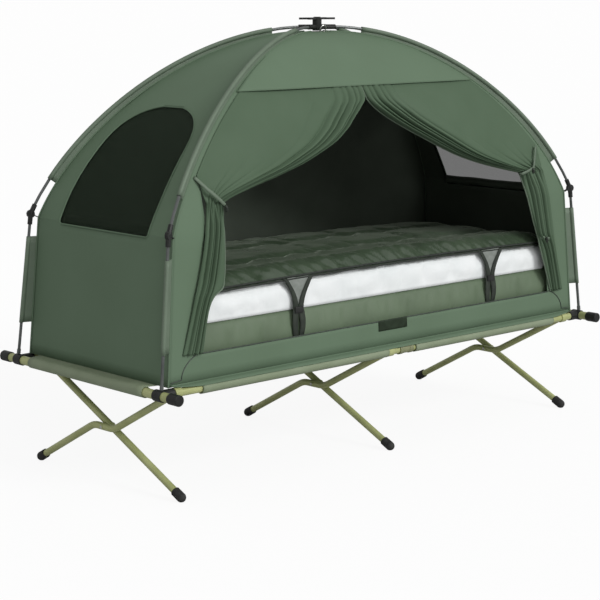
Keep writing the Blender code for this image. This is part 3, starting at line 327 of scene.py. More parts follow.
def thicken(piece, thickness, lining=None):
    """Gives a sheet its cloth thickness on its inner side, with a lining there if one is named."""
    wall = piece.modifiers.new("cloth_thickness", "SOLIDIFY")
    wall.thickness = thickness
    wall.offset = -1
    wall.use_even_offset = False
    if lining is not None:
        piece.data.materials.append(lining)
        wall.material_offset = 1


def ripple(point, size, depth):
    """A soft unevenness of taut cloth, from a smooth noise that is the same every time."""
    return depth * noise.noise(Vector(point) / size)


deck_weave = new_finish("deck_canvas", (0.215, 0.262, 0.168), 0.66)
mottle(deck_weave, 10, (0.198, 0.243, 0.152), (0.232, 0.280, 0.184))
grain(deck_weave, 16, 0.004, 0.35, 4)
weave(deck_weave, 0.0013, 0.00018, 0.5)
deck_z = 0.3498
rail_y = 0.35
bar_x = 0.95
tube_z = 0.3335
turn_radius = 0.0163
deck_half = 0.333
sleeve_end = 0.80
raw_edge = 0.322
hinge_left = -0.03
hinge_right = 0.094
rail_path = []
bar_path = []
for step in range(17):
    angle = math.radians(90 + 335 * (1 - step / 16))
    rail_path.append((-rail_y + turn_radius * math.cos(angle), tube_z + turn_radius * math.sin(angle)))
    bar_path.append((-bar_x + turn_radius * math.cos(angle), tube_z + turn_radius * math.sin(angle)))
rail_path += [(-0.334, deck_z - 0.0012), (-0.328, deck_z - 0.0019), (-raw_edge, deck_z - 0.0019)]
bar_path += [(-0.93 + 0.13 * step / 5, deck_z) for step in range(6)]


def path_spot(path, share):
    spot = share * (len(path) - 1)
    low = min(int(spot), len(path) - 2)
    return Vector(path[low]).lerp(Vector(path[low + 1]), spot - low)


def lay_deck(across, along):
    y = -deck_half + 2 * deck_half * across
    x = -sleeve_end + 2 * sleeve_end * along
    sag = 0.0
    if abs(y) < 0.31:
        sag = ripple((x, y, 0), 0.12, 0.0012) - 0.0012
    return Vector((x, y, deck_z + sag))


def by_hinge(across, along):
    return hinge_left < -sleeve_end + 2 * sleeve_end * along < hinge_right


def beside_hinge(across, along):
    """Where the flat cloth's edge is cut away to clear a hinge fitting."""
    return by_hinge(across, along) and abs(-deck_half + 2 * deck_half * across) > raw_edge


for side, way, body in (("front", 1, "front_frame"), ("back", -1, "back_rail")):
    def lay_turn(across, along, way=way):
        """A sleeve turned round a rail, with its raw edge sewn under the flat cloth."""
        y, z = path_spot(rail_path, across)
        return Vector((-sleeve_end + 2 * sleeve_end * along, way * y, z))

    shape = cloth_grid(len(rail_path) - 1, 128, (0.12, 1.60), lay_turn, by_hinge)
    turn = new_piece(side + "_deck_sleeve", shape, deck_weave, body, 0)
    thicken(turn, 0.0016)
    turn.modifiers["cloth_thickness"].offset = 0
shape = cloth_grid(30, 128, (0.67, 1.60), lay_deck, beside_hinge)
for way in (-1, 1):
    def lay_end(across, along, way=way):
        x, z = path_spot(bar_path, along)
        share = min(1, max(0, (x + bar_x) / 0.15))
        half = 0.285 + 0.037 * share
        return Vector((-way * x, (across * 2 - 1) * half, z))

    end_sheet = cloth_grid(20, len(bar_path) - 1, (0.60, 0.24), lay_end)
    end_mesh = bpy.data.meshes.new("deck_end")
    end_sheet.to_mesh(end_mesh)
    end_sheet.free()
    shape.from_mesh(end_mesh)
    bpy.data.meshes.remove(end_mesh)
bmesh.ops.remove_doubles(shape, verts=shape.verts, dist=0.0002)
bmesh.ops.recalc_face_normals(shape, faces=shape.faces)
deck = new_piece("sewn_deck_cloth", shape, deck_weave, "front_frame", 0)
thicken(deck, 0.0016)
deck.modifiers["cloth_thickness"].offset = 0
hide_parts("deck_cloth")
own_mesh(deck)


# Tent poles
# Four sprung poles of dark grey coated fibreglass. Each stands in a steel ferrule on a corner
# collar, and its upper length is bent in an arc from the elbow to the top fitting.
pole_coat = new_finish("dark_grey_pole", (0.085, 0.092, 0.090), 0.34, 0.2)
mottle(pole_coat, 25, (0.070, 0.078, 0.075), (0.110, 0.118, 0.115))
grain(pole_coat, 500, 0.00005, 0.3, 2, (1, 1, 0.1))
pole_names = []
for side in ("front", "back"):
    for end in ("left", "right"):
        pole_names += ["lower_pole_" + side + "_" + end, "upper_pole_" + side + "_" + end]
dress_nodes(pole_names, pole_coat)
pole_foot_x = 0.9495
pole_foot_y = 0.3580
pole_foot_out = math.hypot(pole_foot_x, pole_foot_y)
diagonal_x = pole_foot_x / pole_foot_out
diagonal_y = pole_foot_y / pole_foot_out
collar_top = 0.3510
elbow_spot = Vector((0.965, 0.790))


def arc_point(share):
    """The upper pole's axis as (distance out from the middle, height), from elbow to top."""
    lean = math.radians(65)
    first = elbow_spot + Vector((-math.cos(lean), math.sin(lean))) * 0.300
    end = Vector((0.045, 1.357))
    second = end + Vector((0.400, 0))
    rest = 1 - share
    return (
        elbow_spot * rest ** 3 + first * 3 * rest ** 2 * share
        + second * 3 * rest * share ** 2 + end * share ** 3
    )


def arc_inward(share):
    """The unit vector that points in under the upper pole, square to it."""
    run = (arc_point(min(share + 0.001, 1)) - arc_point(max(share - 0.001, 0))).normalized()
    return Vector((-abs(run.y), run.x))


def at_corner(spot, x_sign, y_sign):
    return Vector((x_sign * spot[0] * diagonal_x, y_sign * spot[0] * diagonal_y, spot[1]))


def rod_along(path, radius, sides=10):
    """A thin round rod that follows a path of points, with flat ends."""
    count = len(path)
    shape = cloth_grid(sides, count - 1, (math.tau * radius, 1), lambda a, b: Vector((a, b, 0)))
    frames = []
    for number, point in enumerate(path):
        before = Vector(path[max(number - 1, 0)])
        after = Vector(path[min(number + 1, count - 1)])
        run = (after - before).normalized()
        turn = run.to_track_quat("Z", "Y").to_matrix()
        frames.append((Vector(point), turn))
    for vert in shape.verts:
        point, turn = frames[min(count - 1, round(vert.co.y * (count - 1)))]
        angle = vert.co.x * math.tau
        vert.co = point + turn @ Vector((math.cos(angle) * radius, math.sin(angle) * radius, 0))
    bmesh.ops.remove_doubles(shape, verts=shape.verts, dist=radius / 50)
    bmesh.ops.holes_fill(shape, edges=shape.edges, sides=0)
    bmesh.ops.recalc_face_normals(shape, faces=shape.faces)
    return shape


# Pull ring
# A plated ring of round wire hangs under the top fitting's pull wings, on the door side. It is
# left bare.
ring_path = []
for step in range(25):
    angle = math.tau * step / 24
    ring_path.append((0.004 + 0.012 * math.cos(angle), -0.024 - 0.005 * math.sin(angle),
                      1.351 + 0.012 * math.sin(angle)))
new_piece("pull_ring", rod_along(ring_path, 0.0019), rivet_zinc, "tent")


# Tent panels
# Two long sides and two ends of coated green polyester, sewn to each other along the corners.
# The coating inside is nearly black, so the tent looks dark through its door and windows.
seam_base = Vector((pole_foot_out - 0.037, 0.3501))


def seam_point(share):
    return arc_point(share) + arc_inward(share) * (0.027 - 0.013 * share)


def seam_line(heights, low_steps=12, arc_steps=40):
    """The corner seam as points of (distance out, height), with one at each height given."""
    start = seam_point(0)
    line = [seam_base.lerp(start, step / low_steps) for step in range(low_steps)]
    line += [seam_point(step / arc_steps) for step in range(arc_steps + 1)]
    for height in heights:
        for number, (lower, upper) in enumerate(zip(line, line[1:])):
            if lower.y < height < upper.y:
                share = (height - lower.y) / (upper.y - lower.y)
                line.insert(number + 1, lower.lerp(upper, share))
                break
    return line


plain_seam = seam_line(())


def seam_out(height):
    for lower, upper in zip(plain_seam, plain_seam[1:]):
        if lower.y <= height <= upper.y:
            return lower.x + (upper.x - lower.x) * (height - lower.y) / (upper.y - lower.y)
    return plain_seam[-1].x if height > 1 else plain_seam[0].x


def front_y(height):
    return -seam_out(height) * diagonal_y


tent_green = new_finish("coated_green_polyester", (0.116, 0.172, 0.112), 0.60, Specular_IOR_Level=0.15)
mottle(tent_green, 5, (0.113, 0.168, 0.109), (0.119, 0.177, 0.116), 4)
grain(tent_green, 9, 0.0012, 0.30, 4)
weave(tent_green, 0.0009, 0.00008, 0.3)
tent_lining = new_finish("dark_tent_lining", (0.045, 0.058, 0.041), 0.75)
mottle(tent_lining, 6, (0.040, 0.052, 0.036), (0.051, 0.066, 0.047))
grain(tent_lining, 8, 0.003, 0.3, 4)
weave(tent_lining, 0.0009, 0.00010, 0.35)


def tent_sheet(name, shape, outward, finish, thickness, lining=None):
    """Makes a sheet that rides on the tent, with its face towards the direction given."""
    piece = new_piece(name, look_outwards(shape, outward), finish, "tent", 0)
    thicken(piece, thickness, lining)
    return piece


sill_top = 0.434
door_shoulder = 0.83
door_top = 1.163
door_foot = 0.790
foot_end = 0.905
door_line = seam_line((sill_top, door_shoulder, door_top))
strip_columns = 8
door_columns = 64


def door_half(height):
    if height <= door_shoulder:
        return door_foot - 0.035 * max(0, height - sill_top) / (door_shoulder - sill_top)
    return min(0.755, seam_out(min(height, door_top)) * diagonal_x - 0.045)


def split_columns(share, edge, half, strips, middles):
    """Spreads a grid's columns over two side strips and the middle between them."""
    column = share * (2 * strips + middles)
    if column <= strips:
        return -half + (half - edge) * column / strips
    if column <= strips + middles:
        return -edge + 2 * edge * (column - strips) / middles
    return edge + (half - edge) * (column - strips - middles) / strips


def even_weave(shape, across):
    """Lays the weave evenly over a panel whose rows and columns aren't evenly spaced."""
    cut = shape.loops.layers.uv.active
    for face in shape.faces:
        for loop in face.loops:
            spot = loop.vert.co
            out = spot.y if across == "x" else spot.x
            loop[cut].uv = (getattr(spot, across), spot.z - abs(out))
    return shape


def lay_front(across, along):
    out, height = path_spot(door_line, along)
    half = out * diagonal_x
    edge = door_half(height)
    if height > door_top:
        edge = min(edge, half * 0.88)
    x = split_columns(across, edge, half, strip_columns, door_columns)
    slack = max(0, 1 - (abs(x) / half) ** 6)
    lift = ripple((x, 0, height), 0.16, 0.0022) * slack
    return Vector((x, -out * diagonal_y - lift, height))


def is_door(across, along):
    column = across * (2 * strip_columns + door_columns)
    height = path_spot(door_line, along)[1]
    return strip_columns < column < strip_columns + door_columns and sill_top < height < door_top


shape = cloth_grid(
    2 * strip_columns + door_columns, len(door_line) - 1, (1.9, 1.25), lay_front, is_door,
)
even_weave(shape, "x")
canopy_front = tent_sheet("front_panel", shape, (0, -1, 0), tent_green, 0.0014, tent_lining)
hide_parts("canopy_front")


def lay_back(across, along):
    out, height = path_spot(plain_seam, along)
    half = out * diagonal_x
    x = half * (2 * across - 1)
    slack = max(0, 1 - (abs(x) / half) ** 6)
    lift = ripple((x, 3, height), 0.16, 0.0025) * slack
    return Vector((x, out * diagonal_y + lift, height))


shape = cloth_grid(72, len(plain_seam) - 1, (1.9, 1.25), lay_back)
canopy_back = tent_sheet("back_panel", shape, (0, 1, 0), tent_green, 0.0014, tent_lining)
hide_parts("canopy_back")

for side, way in (("front", -1), ("back", 1)):
    def lay_hem(across, along, way=way):
        """A narrow skirt along the foot of each long side, resting on the rail's sleeve."""
        x = -foot_end + 2 * foot_end * along
        section = [(0.3454, 0.3562), (0.3478, 0.3531), (0.3530, 0.3524), (0.3580, 0.3510), (0.3625, 0.3482),
                   (0.3662, 0.3440)]
        ends = min(1, max(0, (foot_end - abs(x)) / 0.10))
        reach = 0.35 + 0.65 * ends ** 0.5
        y, z = path_spot(section, across * reach)
        return Vector((x, way * (y + ripple((x, way, 0), 0.10, 0.0008) * across), z))

    shape = cloth_grid(8, 240, (0.026, 1.81), lay_hem)
    hem = tent_sheet(side + "_hem", shape, (0, way, 0), tent_green, -0.0008)


# End panels and mesh windows
# Each end has an arched window of fine black net, sewn in behind a turned edge. Against the
# daylight the net looks pale grey from inside, and nearly black from outside.
window_bottom = 0.770
window_top = 1.126
window_heights = [window_bottom + 0.010 * step / 3 for step in range(4)] + [0.80, 0.83]
window_heights += [0.87, 0.91, 0.95, 0.99, 1.02, 1.045, 1.065, 1.080, 1.092, 1.102, 1.110, 1.116]
window_heights += [1.120, 1.1235, window_top]
window_line = seam_line(window_heights + [window_top + 0.0025])
window_strips = 14
window_columns = 24


def window_half(height):
    """Half the window's width: rounded foot corners, sides that lean in, an arched head."""
    rise = height - window_bottom
    if rise < 0:
        return 0.209
    half = 0.218 if rise > 0.010 else 0.209 + 0.009 * math.sqrt(1 - (1 - rise / 0.010) ** 2)
    if height > 0.85:
        half -= 0.027 * ((height - 0.85) / 0.20) ** 1.6
    if height > 1.0:
        arch = min(1, (height - 1.0) / (window_top - 1.0))
        half *= math.sqrt(max(0.07, 1 - arch ** 3.2))
    return half


net = new_finish("black_window_net", (0.013, 0.024, 0.012), 0.8, Alpha=0.60, Specular_IOR_Level=0.2)
mottle(net, 40, (0.011, 0.021, 0.010), (0.016, 0.028, 0.015))
weave(net, 0.0014, 0.0002, 0.6)
for end, sign in (("left", -1), ("right", 1)):
    def lay_end_panel(across, along, sign=sign):
        out, height = path_spot(window_line, along)
        half = out * diagonal_y - 0.001
        edge = window_half(height)
        if height > window_top:
            edge = min(0.9 * half, 0.050 + 0.9 * (height - window_top))
        y = split_columns(across, min(edge, 0.9 * half), half, window_strips, window_columns)
        slack = max(0, 1 - (abs(y) / half) ** 6)
        lift = ripple((5 * sign, y, height), 0.14, 0.0022) * slack
        return Vector((sign * (out * diagonal_x + lift), y, height))

    def is_window(across, along):
        column = across * (2 * window_strips + window_columns)
        height = path_spot(window_line, along)[1]
        inside = window_strips < column < window_strips + window_columns
        return inside and window_bottom < height < window_top

    shape = cloth_grid(
        2 * window_strips + window_columns, len(window_line) - 1, (0.70, 1.45), lay_end_panel, is_window,
    )
    even_weave(shape, "y")
    panel = tent_sheet(
        end + "_panel", shape, (sign, 0, 0), tent_green, 0.0014, tent_lining,
    )
    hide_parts("canopy_" + end)

    def lay_net(across, along, sign=sign):
        height = window_bottom - 0.006 + (window_top + 0.012 - window_bottom) * along
        half = max(0.02, window_half(min(height, 1.1245))) + 0.006
        y = half * (2 * across - 1)
        inside = 0.0032 + 0.0020 * along ** 4
        return Vector((sign * (seam_out(height) * diagonal_x - inside), y, height))

    shape = cloth_grid(16, 24, (0.42, 0.38), lay_net)
    window_net = tent_sheet(end + "_window_net", shape, (sign, 0, 0), net, 0.0004)
    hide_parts("window_mesh_" + end)
    edge_path = [(window_half(height), height) for height in window_heights[:-1]]
    outline = [(-y, z) for y, z in edge_path] + [(y, z) for y, z in edge_path[::-1]]
    outline += [outline[0]]
    spots = [(sign * (seam_out(z) * diagonal_x + 0.0006), y, z) for y, z in outline]
    new_piece(
        end + "_window_binding", rod_along(spots, 0.0022, 8), tent_green, "tent",
    )

    def lay_roll(across, along, sign=sign):
        """The window's cover, rolled down inside and tied along the sill of the window."""
        turns = math.tau * 2.4 * across
        radius = 0.006 + 0.0085 * across + 0.0012 * noise.noise(Vector((along * 6, turns, sign)))
        middle = Vector((seam_out(0.784) * diagonal_x - 0.020, 0.784 + ripple((0, along, 4), 0.3, 0.004)))
        y = 0.205 * (2 * along - 1)
        x = middle.x + radius * math.cos(turns) * 0.8
        return Vector((sign * x, y, middle.y + radius * math.sin(turns)))

    shape = cloth_grid(60, 30, (0.16, 0.41), lay_roll)
    cover = tent_sheet(end + "_window_cover", shape, (-sign, 0, 0), tent_lining, 0.0004)


# Corner piping and pole sleeves
# A corded piping covers each corner seam. From it a doubled strip of the same cloth reaches out
# and is sewn round the pole, with gaps at the elbow, the foot and the top.
sleeve_cloth = new_finish("grey_green_sleeve_cloth", (0.118, 0.162, 0.113), 0.60)
mottle(sleeve_cloth, 12, (0.110, 0.151, 0.105), (0.128, 0.174, 0.122))
grain(sleeve_cloth, 22, 0.002, 0.35, 3)
weave(sleeve_cloth, 0.0009, 0.00012, 0.4)
sleeve_turn = 0.0072
gap = 0.0007
pole_foot_spot = Vector((pole_foot_out, collar_top + 0.001))
for side, y_sign in (("front", -1), ("back", 1)):
    for end, x_sign in (("left", -1), ("right", 1)):
        corner = side + "_" + end
        path = [at_corner(spot, x_sign, y_sign) for spot in plain_seam]
        new_piece(corner + "_piping", rod_along(path, 0.0028, 8), tent_green, "tent")
        lower = []
        for step in range(13):
            height = 0.450 + 0.270 * step / 12
            share = (height - pole_foot_spot.y) / (elbow_spot.y - pole_foot_spot.y)
            pole = pole_foot_spot.lerp(elbow_spot, share)
            lower.append((Vector((seam_out(height), height)), pole))
        upper = []
        for step in range(41):
            share = 0.13 + 0.775 * step / 40
            upper.append((seam_point(share), arc_point(share)))
        for part, line in (("lower", lower), ("upper", upper)):
            def lay_sleeve(across, along, line=line, x_sign=x_sign, y_sign=y_sign):
                """The strip's section: out along one side, round the pole, and back."""
                seam, pole = line[min(len(line) - 1, round(along * (len(line) - 1)))]
                reach = (pole - seam).length
                run = (pole - seam).normalized()
                if across < 0.25:
                    spot = seam + run * (reach - sleeve_turn) * across * 4
                    off = gap
                elif across > 0.75:
                    spot = seam + run * (reach - sleeve_turn) * (1 - across) * 4
                    off = -gap
                else:
                    angle = math.radians(180 - 360 * (across - 0.25) * 2)
                    spot = pole + run * sleeve_turn * math.cos(angle)
                    off = sleeve_turn * math.sin(angle) * 0.98 + (gap if angle > 0 else -gap) * 0.1
                spot = at_corner(spot, x_sign, y_sign)
                return spot + Vector((y_sign * diagonal_y, -x_sign * diagonal_x, 0)) * off

            shape = cloth_grid(24, len(line) - 1, (0.09, 0.027 * len(line)), lay_sleeve)
            sleeve = new_piece(
                corner + "_" + part + "_sleeve", shape, sleeve_cloth, "tent", 50,
            )
            thicken(sleeve, 0.0006)


# Rain flap
# A band of the same cloth is sewn across the front over the door's head, so that rain runs off
# it past the curtains. Its lower edge stands a little clear and throws a thin shadow.
def lay_flap(across, along):
    height = 1.176 + 0.112 * along
    half = seam_out(height) * diagonal_x - 0.006
    x = half * (2 * across - 1)
    ease = (1 - along) ** 2
    ends = 1 - (abs(x) / half) ** 8
    stand = 0.0022 - 0.0029 * along ** 2 + 0.0115 * ease * (0.35 + 0.65 * ends)
    stand += ripple((x, 0, height), 0.16, 0.0022) * max(0, 1 - (abs(x) / half) ** 6)
    return Vector((x, front_y(height) - stand - ripple((x, 0, 9), 0.2, 0.0015) * ease, height))


shape = cloth_grid(80, 12, (1.05, 0.13), lay_flap)
rain_flap = tent_sheet("rain_flap", shape, (0, -1, 0), tent_green, 0.0012)
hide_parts("door_rain_flap")


# Door curtains
# Each door leaf is drawn aside. It hangs from the head of the door in pleats that crowd towards
# its free edge, is caught by a tie at the corner seam, and falls in a loose bundle to the sill.
# The curtains are the tent's own cloth. This copy of its green is darker to paint the shade they hang in
# under the rain flap.
curtain_green_painted_shade = new_finish(
    "curtain_cloth_with_painted_shade", (0.078, 0.122, 0.075), 0.60, Specular_IOR_Level=0.15,
)
mottle(curtain_green_painted_shade, 5, (0.074, 0.117, 0.071), (0.083, 0.128, 0.080), 4)
grain(curtain_green_painted_shade, 14, 0.0012, 0.30, 4)
weave(curtain_green_painted_shade, 0.0009, 0.00008, 0.3)
curtain_head = 1.186
# Each side as the photograph shows it: the free edge as (distance from the middle, height), the
# tied width, and the fallen bundle as (height, inner edge, outer edge).
leaves = {
    "left": {
        "edge": [
            (0.001, curtain_head), (0.001, 1.160), (0.012, 1.134), (0.040, 1.116), (0.070, 1.097),
            (0.100, 1.075), (0.130, 1.052), (0.195, 1.014), (0.277, 0.982), (0.364, 0.953),
            (0.474, 0.925), (0.580, 0.900), (0.650, 0.882), (0.690, 0.866),
        ],
        "tied": 0.054,
        "fall": [
            (0.866, 0.690, 0.744), (0.800, 0.692, 0.760), (0.720, 0.696, 0.778), (0.650, 0.699, 0.796),
            (0.618, 0.708, 0.806), (0.596, 0.742, 0.813), (0.560, 0.762, 0.823), (0.500, 0.776, 0.841),
            (0.4365, 0.786, 0.860),
        ],
    },
    "right": {
        "edge": [
            (0.001, curtain_head), (0.001, 1.160), (0.006, 1.131), (0.028, 1.105), (0.065, 1.077),
            (0.110, 1.051), (0.160, 1.026), (0.226, 0.994), (0.291, 0.964), (0.362, 0.935),
            (0.448, 0.908), (0.544, 0.884), (0.650, 0.861),
        ],
        "tied": 0.125,
        "fall": [
            (0.861, 0.650, 0.775), (0.800, 0.666, 0.787), (0.720, 0.692, 0.802), (0.650, 0.720, 0.812),
            (0.626, 0.731, 0.816), (0.600, 0.740, 0.822), (0.560, 0.755, 0.832), (0.500, 0.778, 0.850),
            (0.4365, 0.802, 0.868),
        ],
    },
}


def pleats(share, valleys, heights):
    """Rounded ridges between sharp valleys of uneven spacing, each ridge with its own height."""
    for start, end, high in zip(valleys, valleys[1:], heights):
        if start <= share <= end:
            return high * math.sin(math.pi * (share - start) / (end - start)) ** 0.62
    return 0.0


def smooth_spot(table, share):
    """A point of a table of rows, on a smooth curve through all of them."""
    spot = share * (len(table) - 1)
    low = min(int(spot), len(table) - 2)
    rows = [Vector(table[min(max(low + step, 0), len(table) - 1)]) for step in (-1, 0, 1, 2)]
    run = spot - low
    start = (rows[2] - rows[0]) / 2
    end = (rows[3] - rows[1]) / 2
    across = rows[2] - rows[1]
    bend = (across * 3 - start * 2 - end) * run ** 2
    return rows[1] + start * run + bend + (start + end - across * 2) * run ** 3


def head_spot(across):
    """Where a thread of the curtain starts: along the door head, then down the side seam."""
    level = seam_out(curtain_head) * diagonal_x - 0.017
    if across < 0.45:
        return Vector((0.001 + 0.149 * across / 0.45, curtain_head))
    if across < 0.80:
        return Vector((0.15 + (level - 0.15) * (across - 0.45) / 0.35, curtain_head))
    height = curtain_head - 0.240 * (across - 0.80) / 0.20
    return Vector((seam_out(height) * diagonal_x - 0.017, height))


def hung_spot(leaf, across, down):
    """The drawn part, from head to tie, as (distance from the middle, height, distance in front)."""
    tie = Vector((leaf["edge"][-1][0] + leaf["tied"] * across, leaf["edge"][-1][1]))
    spot = head_spot(across).lerp(tie, down)
    straight = head_spot(0).lerp(tie - Vector((leaf["tied"] * across, 0)), down)
    pull = max(0, 1 - (across / 0.95) ** 1.7)
    spot += (smooth_spot(leaf["edge"], down) - straight) * pull
    valleys = (0, 0.075, 0.140, 0.225, 0.290, 0.390, 0.52)
    heights = (0.85, 0.7, 1.0, 0.6, 0.6, 0.22)
    near = max(0, (down - 0.5) / 0.5)
    depth = 0.0065 + 0.0300 * min(1, down * 3.5) - 0.0165 * down
    fold = depth * pleats(across, valleys, heights)
    gathers = (0.50, 0.60, 0.72, 0.80, 0.91, 1.0)
    fold += 0.011 * near ** 2.5 * pleats(across, gathers, (0.5, 0.9, 0.6, 1.0, 0.7))
    belly = 0.014 * math.sin(math.pi * min(1, across * 1.05)) * math.sin(math.pi * down)
    return Vector((spot.x, spot.y, 0.0032 + belly + fold))


def fallen_spot(leaf, across, fall):
    """The loose bundle under the tie, from tie to sill, in the same form."""
    height, inner, outer = smooth_spot(leaf["fall"], fall)
    steady = leaf["fall"][0][1] + (leaf["fall"][-1][1] - leaf["fall"][0][1]) * fall
    inner = inner + (steady - inner) * min(1, across / 0.16)
    drift = 0.05 * math.sin(math.pi * fall) * noise.noise(Vector((across * 2.5, fall * 2.2, outer * 9)))
    share = min(1, max(0, across + drift))
    valleys = (0, 0.14, 0.27, 0.47, 0.60, 0.78, 1.0)
    heights = (0.5, 0.9, 1.0, 0.6, 0.8, 0.35)
    fold = (0.0215 - 0.008 * fall) * pleats(share, valleys, heights)
    x = inner + (outer - inner) * (across + drift * 0.6)
    return Vector((x, height, 0.0032 + 0.006 * math.sin(math.pi * fall) + fold))


for end, sign in (("left", -1), ("right", 1)):
    def lay_curtain(across, along, sign=sign, leaf=leaves[end]):
        down = along * 2
        if down <= 1:
            spot = hung_spot(leaf, across, down)
        else:
            spot = fallen_spot(leaf, across, down - 1)
            blend = min(1, (down - 1) * 9)
            above = hung_spot(leaf, across, 1.0)
            spot = Vector((spot.x, spot.y, above.z + (spot.z - above.z) * blend))
        unevenness = ripple((spot.x * sign, 0, spot.y), 0.10, 0.0020)
        return Vector((sign * spot.x, front_y(spot.y) - spot.z - max(-0.001, unevenness), spot.y))

    shape = cloth_grid(150, 110, (0.95, 0.95), lay_curtain)
    curtain = tent_sheet(end + "_curtain", shape, (0, -1, 0), curtain_green_painted_shade, 0.0012)
    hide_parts("door_curtain_" + end)
    edge_cord = [lay_curtain(0, step / 110) for step in range(111)]
    new_piece(end + "_curtain_piping", rod_along(edge_cord, 0.0024, 8), sleeve_cloth, "tent")


# Curtain ties
# A narrow tape sewn beside the corner seam passes over the gathered curtain and back behind it,
# held by a small knot; the right curtain is caught a second time lower down.
def tape_along(path, width, up, size):
    """A flat tape that follows a path, its width along a given direction."""
    count = len(path)
    rise = Vector(up).normalized() * width / 2

    def lay_tape(across, along):
        return Vector(path[min(count - 1, round(along * (count - 1)))]) + rise * (2 * across - 1)

    return cloth_grid(2, count - 1, (width, size), lay_tape)


dark_webbing = new_finish("dark_green_webbing", (0.017, 0.024, 0.016), 0.7)
mottle(dark_webbing, 60, (0.013, 0.019, 0.013), (0.024, 0.033, 0.022))
grain(dark_webbing, 60, 0.001, 0.3, 3)
weave(dark_webbing, 0.0016, 0.0003, 0.7)


def knot_at(name, place):
    """A small hard knot of tape, uneven like a real one, with a short tail."""
    shape = bmesh.new()
    bmesh.ops.create_icosphere(shape, subdivisions=3, radius=0.0058)
    for vert in shape.verts:
        vert.co += vert.co.normalized() * ripple(vert.co, 0.005, 0.0026)
        vert.co.z *= 1.2
        if vert.co.z < -0.002:
            vert.co.x *= 0.75
            vert.co.z *= 1.9
    bmesh.ops.translate(shape, vec=place, verts=shape.verts)
    return new_piece(name, shape, dark_webbing, "tent", 0)


for end, sign, rise, anchor, over, inner, knot in (
    ("left", -1, 0.004, (0.772, 0.944), (0.742, 0.906), (0.690, 0.860), (0.689, 0.853)),
    ("right", 1, 0.015, (0.750, 0.945), (0.712, 0.876), (0.648, 0.858), (0.700, 0.868)),
):
    path = []
    for step in range(9):
        x, z = Vector(anchor).lerp(Vector(over), step / 8)
        path.append((sign * x, front_y(z) - rise - (0.022 - rise) * step / 8, z))
    for step in range(1, 13):
        x, z = Vector(over).lerp(Vector(inner), step / 12)
        bulge = 0.0235 + 0.003 * math.sin(math.pi * step / 12)
        path.append((sign * x, front_y(z) - bulge, z))
    for step in range(1, 7):
        angle = math.radians(150 * step / 6)
        x = inner[0] - 0.006 * math.sin(angle)
        path.append((sign * x, front_y(inner[1]) - 0.0125 - 0.009 * math.cos(angle), inner[1] - 0.002))
    shape = tape_along(path, 0.010, (-0.75 * sign, 0, 1), 0.14)
    tie = tent_sheet(end + "_curtain_tie", shape, (0, -1, 0), sleeve_cloth, 0.0014)
    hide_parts("curtain_tie_" + end)
    knot_at(end + "_tie_knot", (sign * knot[0], front_y(knot[1]) - 0.026, knot[1]))
band = []
for step in range(17):
    angle = math.radians(200 * step / 16 - 10)
    x = 0.759 + 0.031 * math.cos(angle)
    z = 0.628 - 0.006 * math.cos(angle)
    band.append((x, front_y(z) - 0.004 - 0.0185 * max(0, math.sin(angle)), z))
shape = tape_along(band, 0.010, (0, 0, 1), 0.11)
lower_band = tent_sheet("right_lower_tie", shape, (0, -1, 0), sleeve_cloth, 0.0014)
knot_at("right_lower_knot", (0.756, front_y(0.628) - 0.026, 0.626))


# Door zip
# A coil zip is sewn along the sill and runs on, round the foot of each curtain, to the seam.
zip_tape = new_finish("dark_zip", (0.030, 0.042, 0.031), 0.55)
mottle(zip_tape, 80, (0.024, 0.034, 0.025), (0.042, 0.056, 0.043))
grain(zip_tape, 420, 0.0004, 0.7)
for end, sign in (("left", -1), ("right", 1)):
    path = []
    for step in range(25):
        angle = math.radians(90 * step / 24)
        path.append((door_foot + 0.075 * math.sin(angle), 0.4365 - 0.070 * (1 - math.cos(angle)) ** 0.8))
    path.append((0.905, 0.362))
    spots = [(sign * x, front_y(z) - 0.0008, z) for x, z in path]
    new_piece(end + "_zip_end", rod_along(spots, 0.0016, 6), zip_tape, "tent")
sill_path = []
for step in range(61):
    sill_path.append((-door_foot + 2 * door_foot * step / 60, front_y(sill_top) - 0.0004, sill_top))
new_piece("sill_zip", rod_along(sill_path, 0.0020, 6), zip_tape, "tent")


# Sill tab
# A blank dark patch is sewn on the sill near its middle, just under the zip.
def lay_tab(across, along):
    x = -0.054 + 0.130 * across
    z = 0.402 + 0.034 * along
    return Vector((x, front_y(z) - 0.0022, z))


tab_cloth = new_finish("dark_green_tab", (0.015, 0.026, 0.013), 0.7, Specular_IOR_Level=0.2)
mottle(tab_cloth, 40, (0.012, 0.021, 0.010), (0.019, 0.032, 0.017))
grain(tab_cloth, 60, 0.001, 0.3)
weave(tab_cloth, 0.0011, 0.00015, 0.5)
shape = cloth_grid(16, 6, (0.130, 0.034), lay_tab)
tab = tent_sheet("sill_tab", shape, (0, -1, 0), tab_cloth, 0.0012)


# Groundsheet
# The tent's floor is a plain coated sheet that lies on the deck cloth, under the mattress.
def lay_floor(across, along):
    x = foot_end * (2 * across - 1)
    y = 0.339 * (2 * along - 1)
    return Vector((x, y, 0.3521 + ripple((x, y, 2), 0.1, 0.0002)))


shape = cloth_grid(60, 24, (1.81, 0.68), lay_floor)
groundsheet = tent_sheet("groundsheet", shape, (0, 0, 1), tent_lining, 0.0012)
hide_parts("tent_floor")


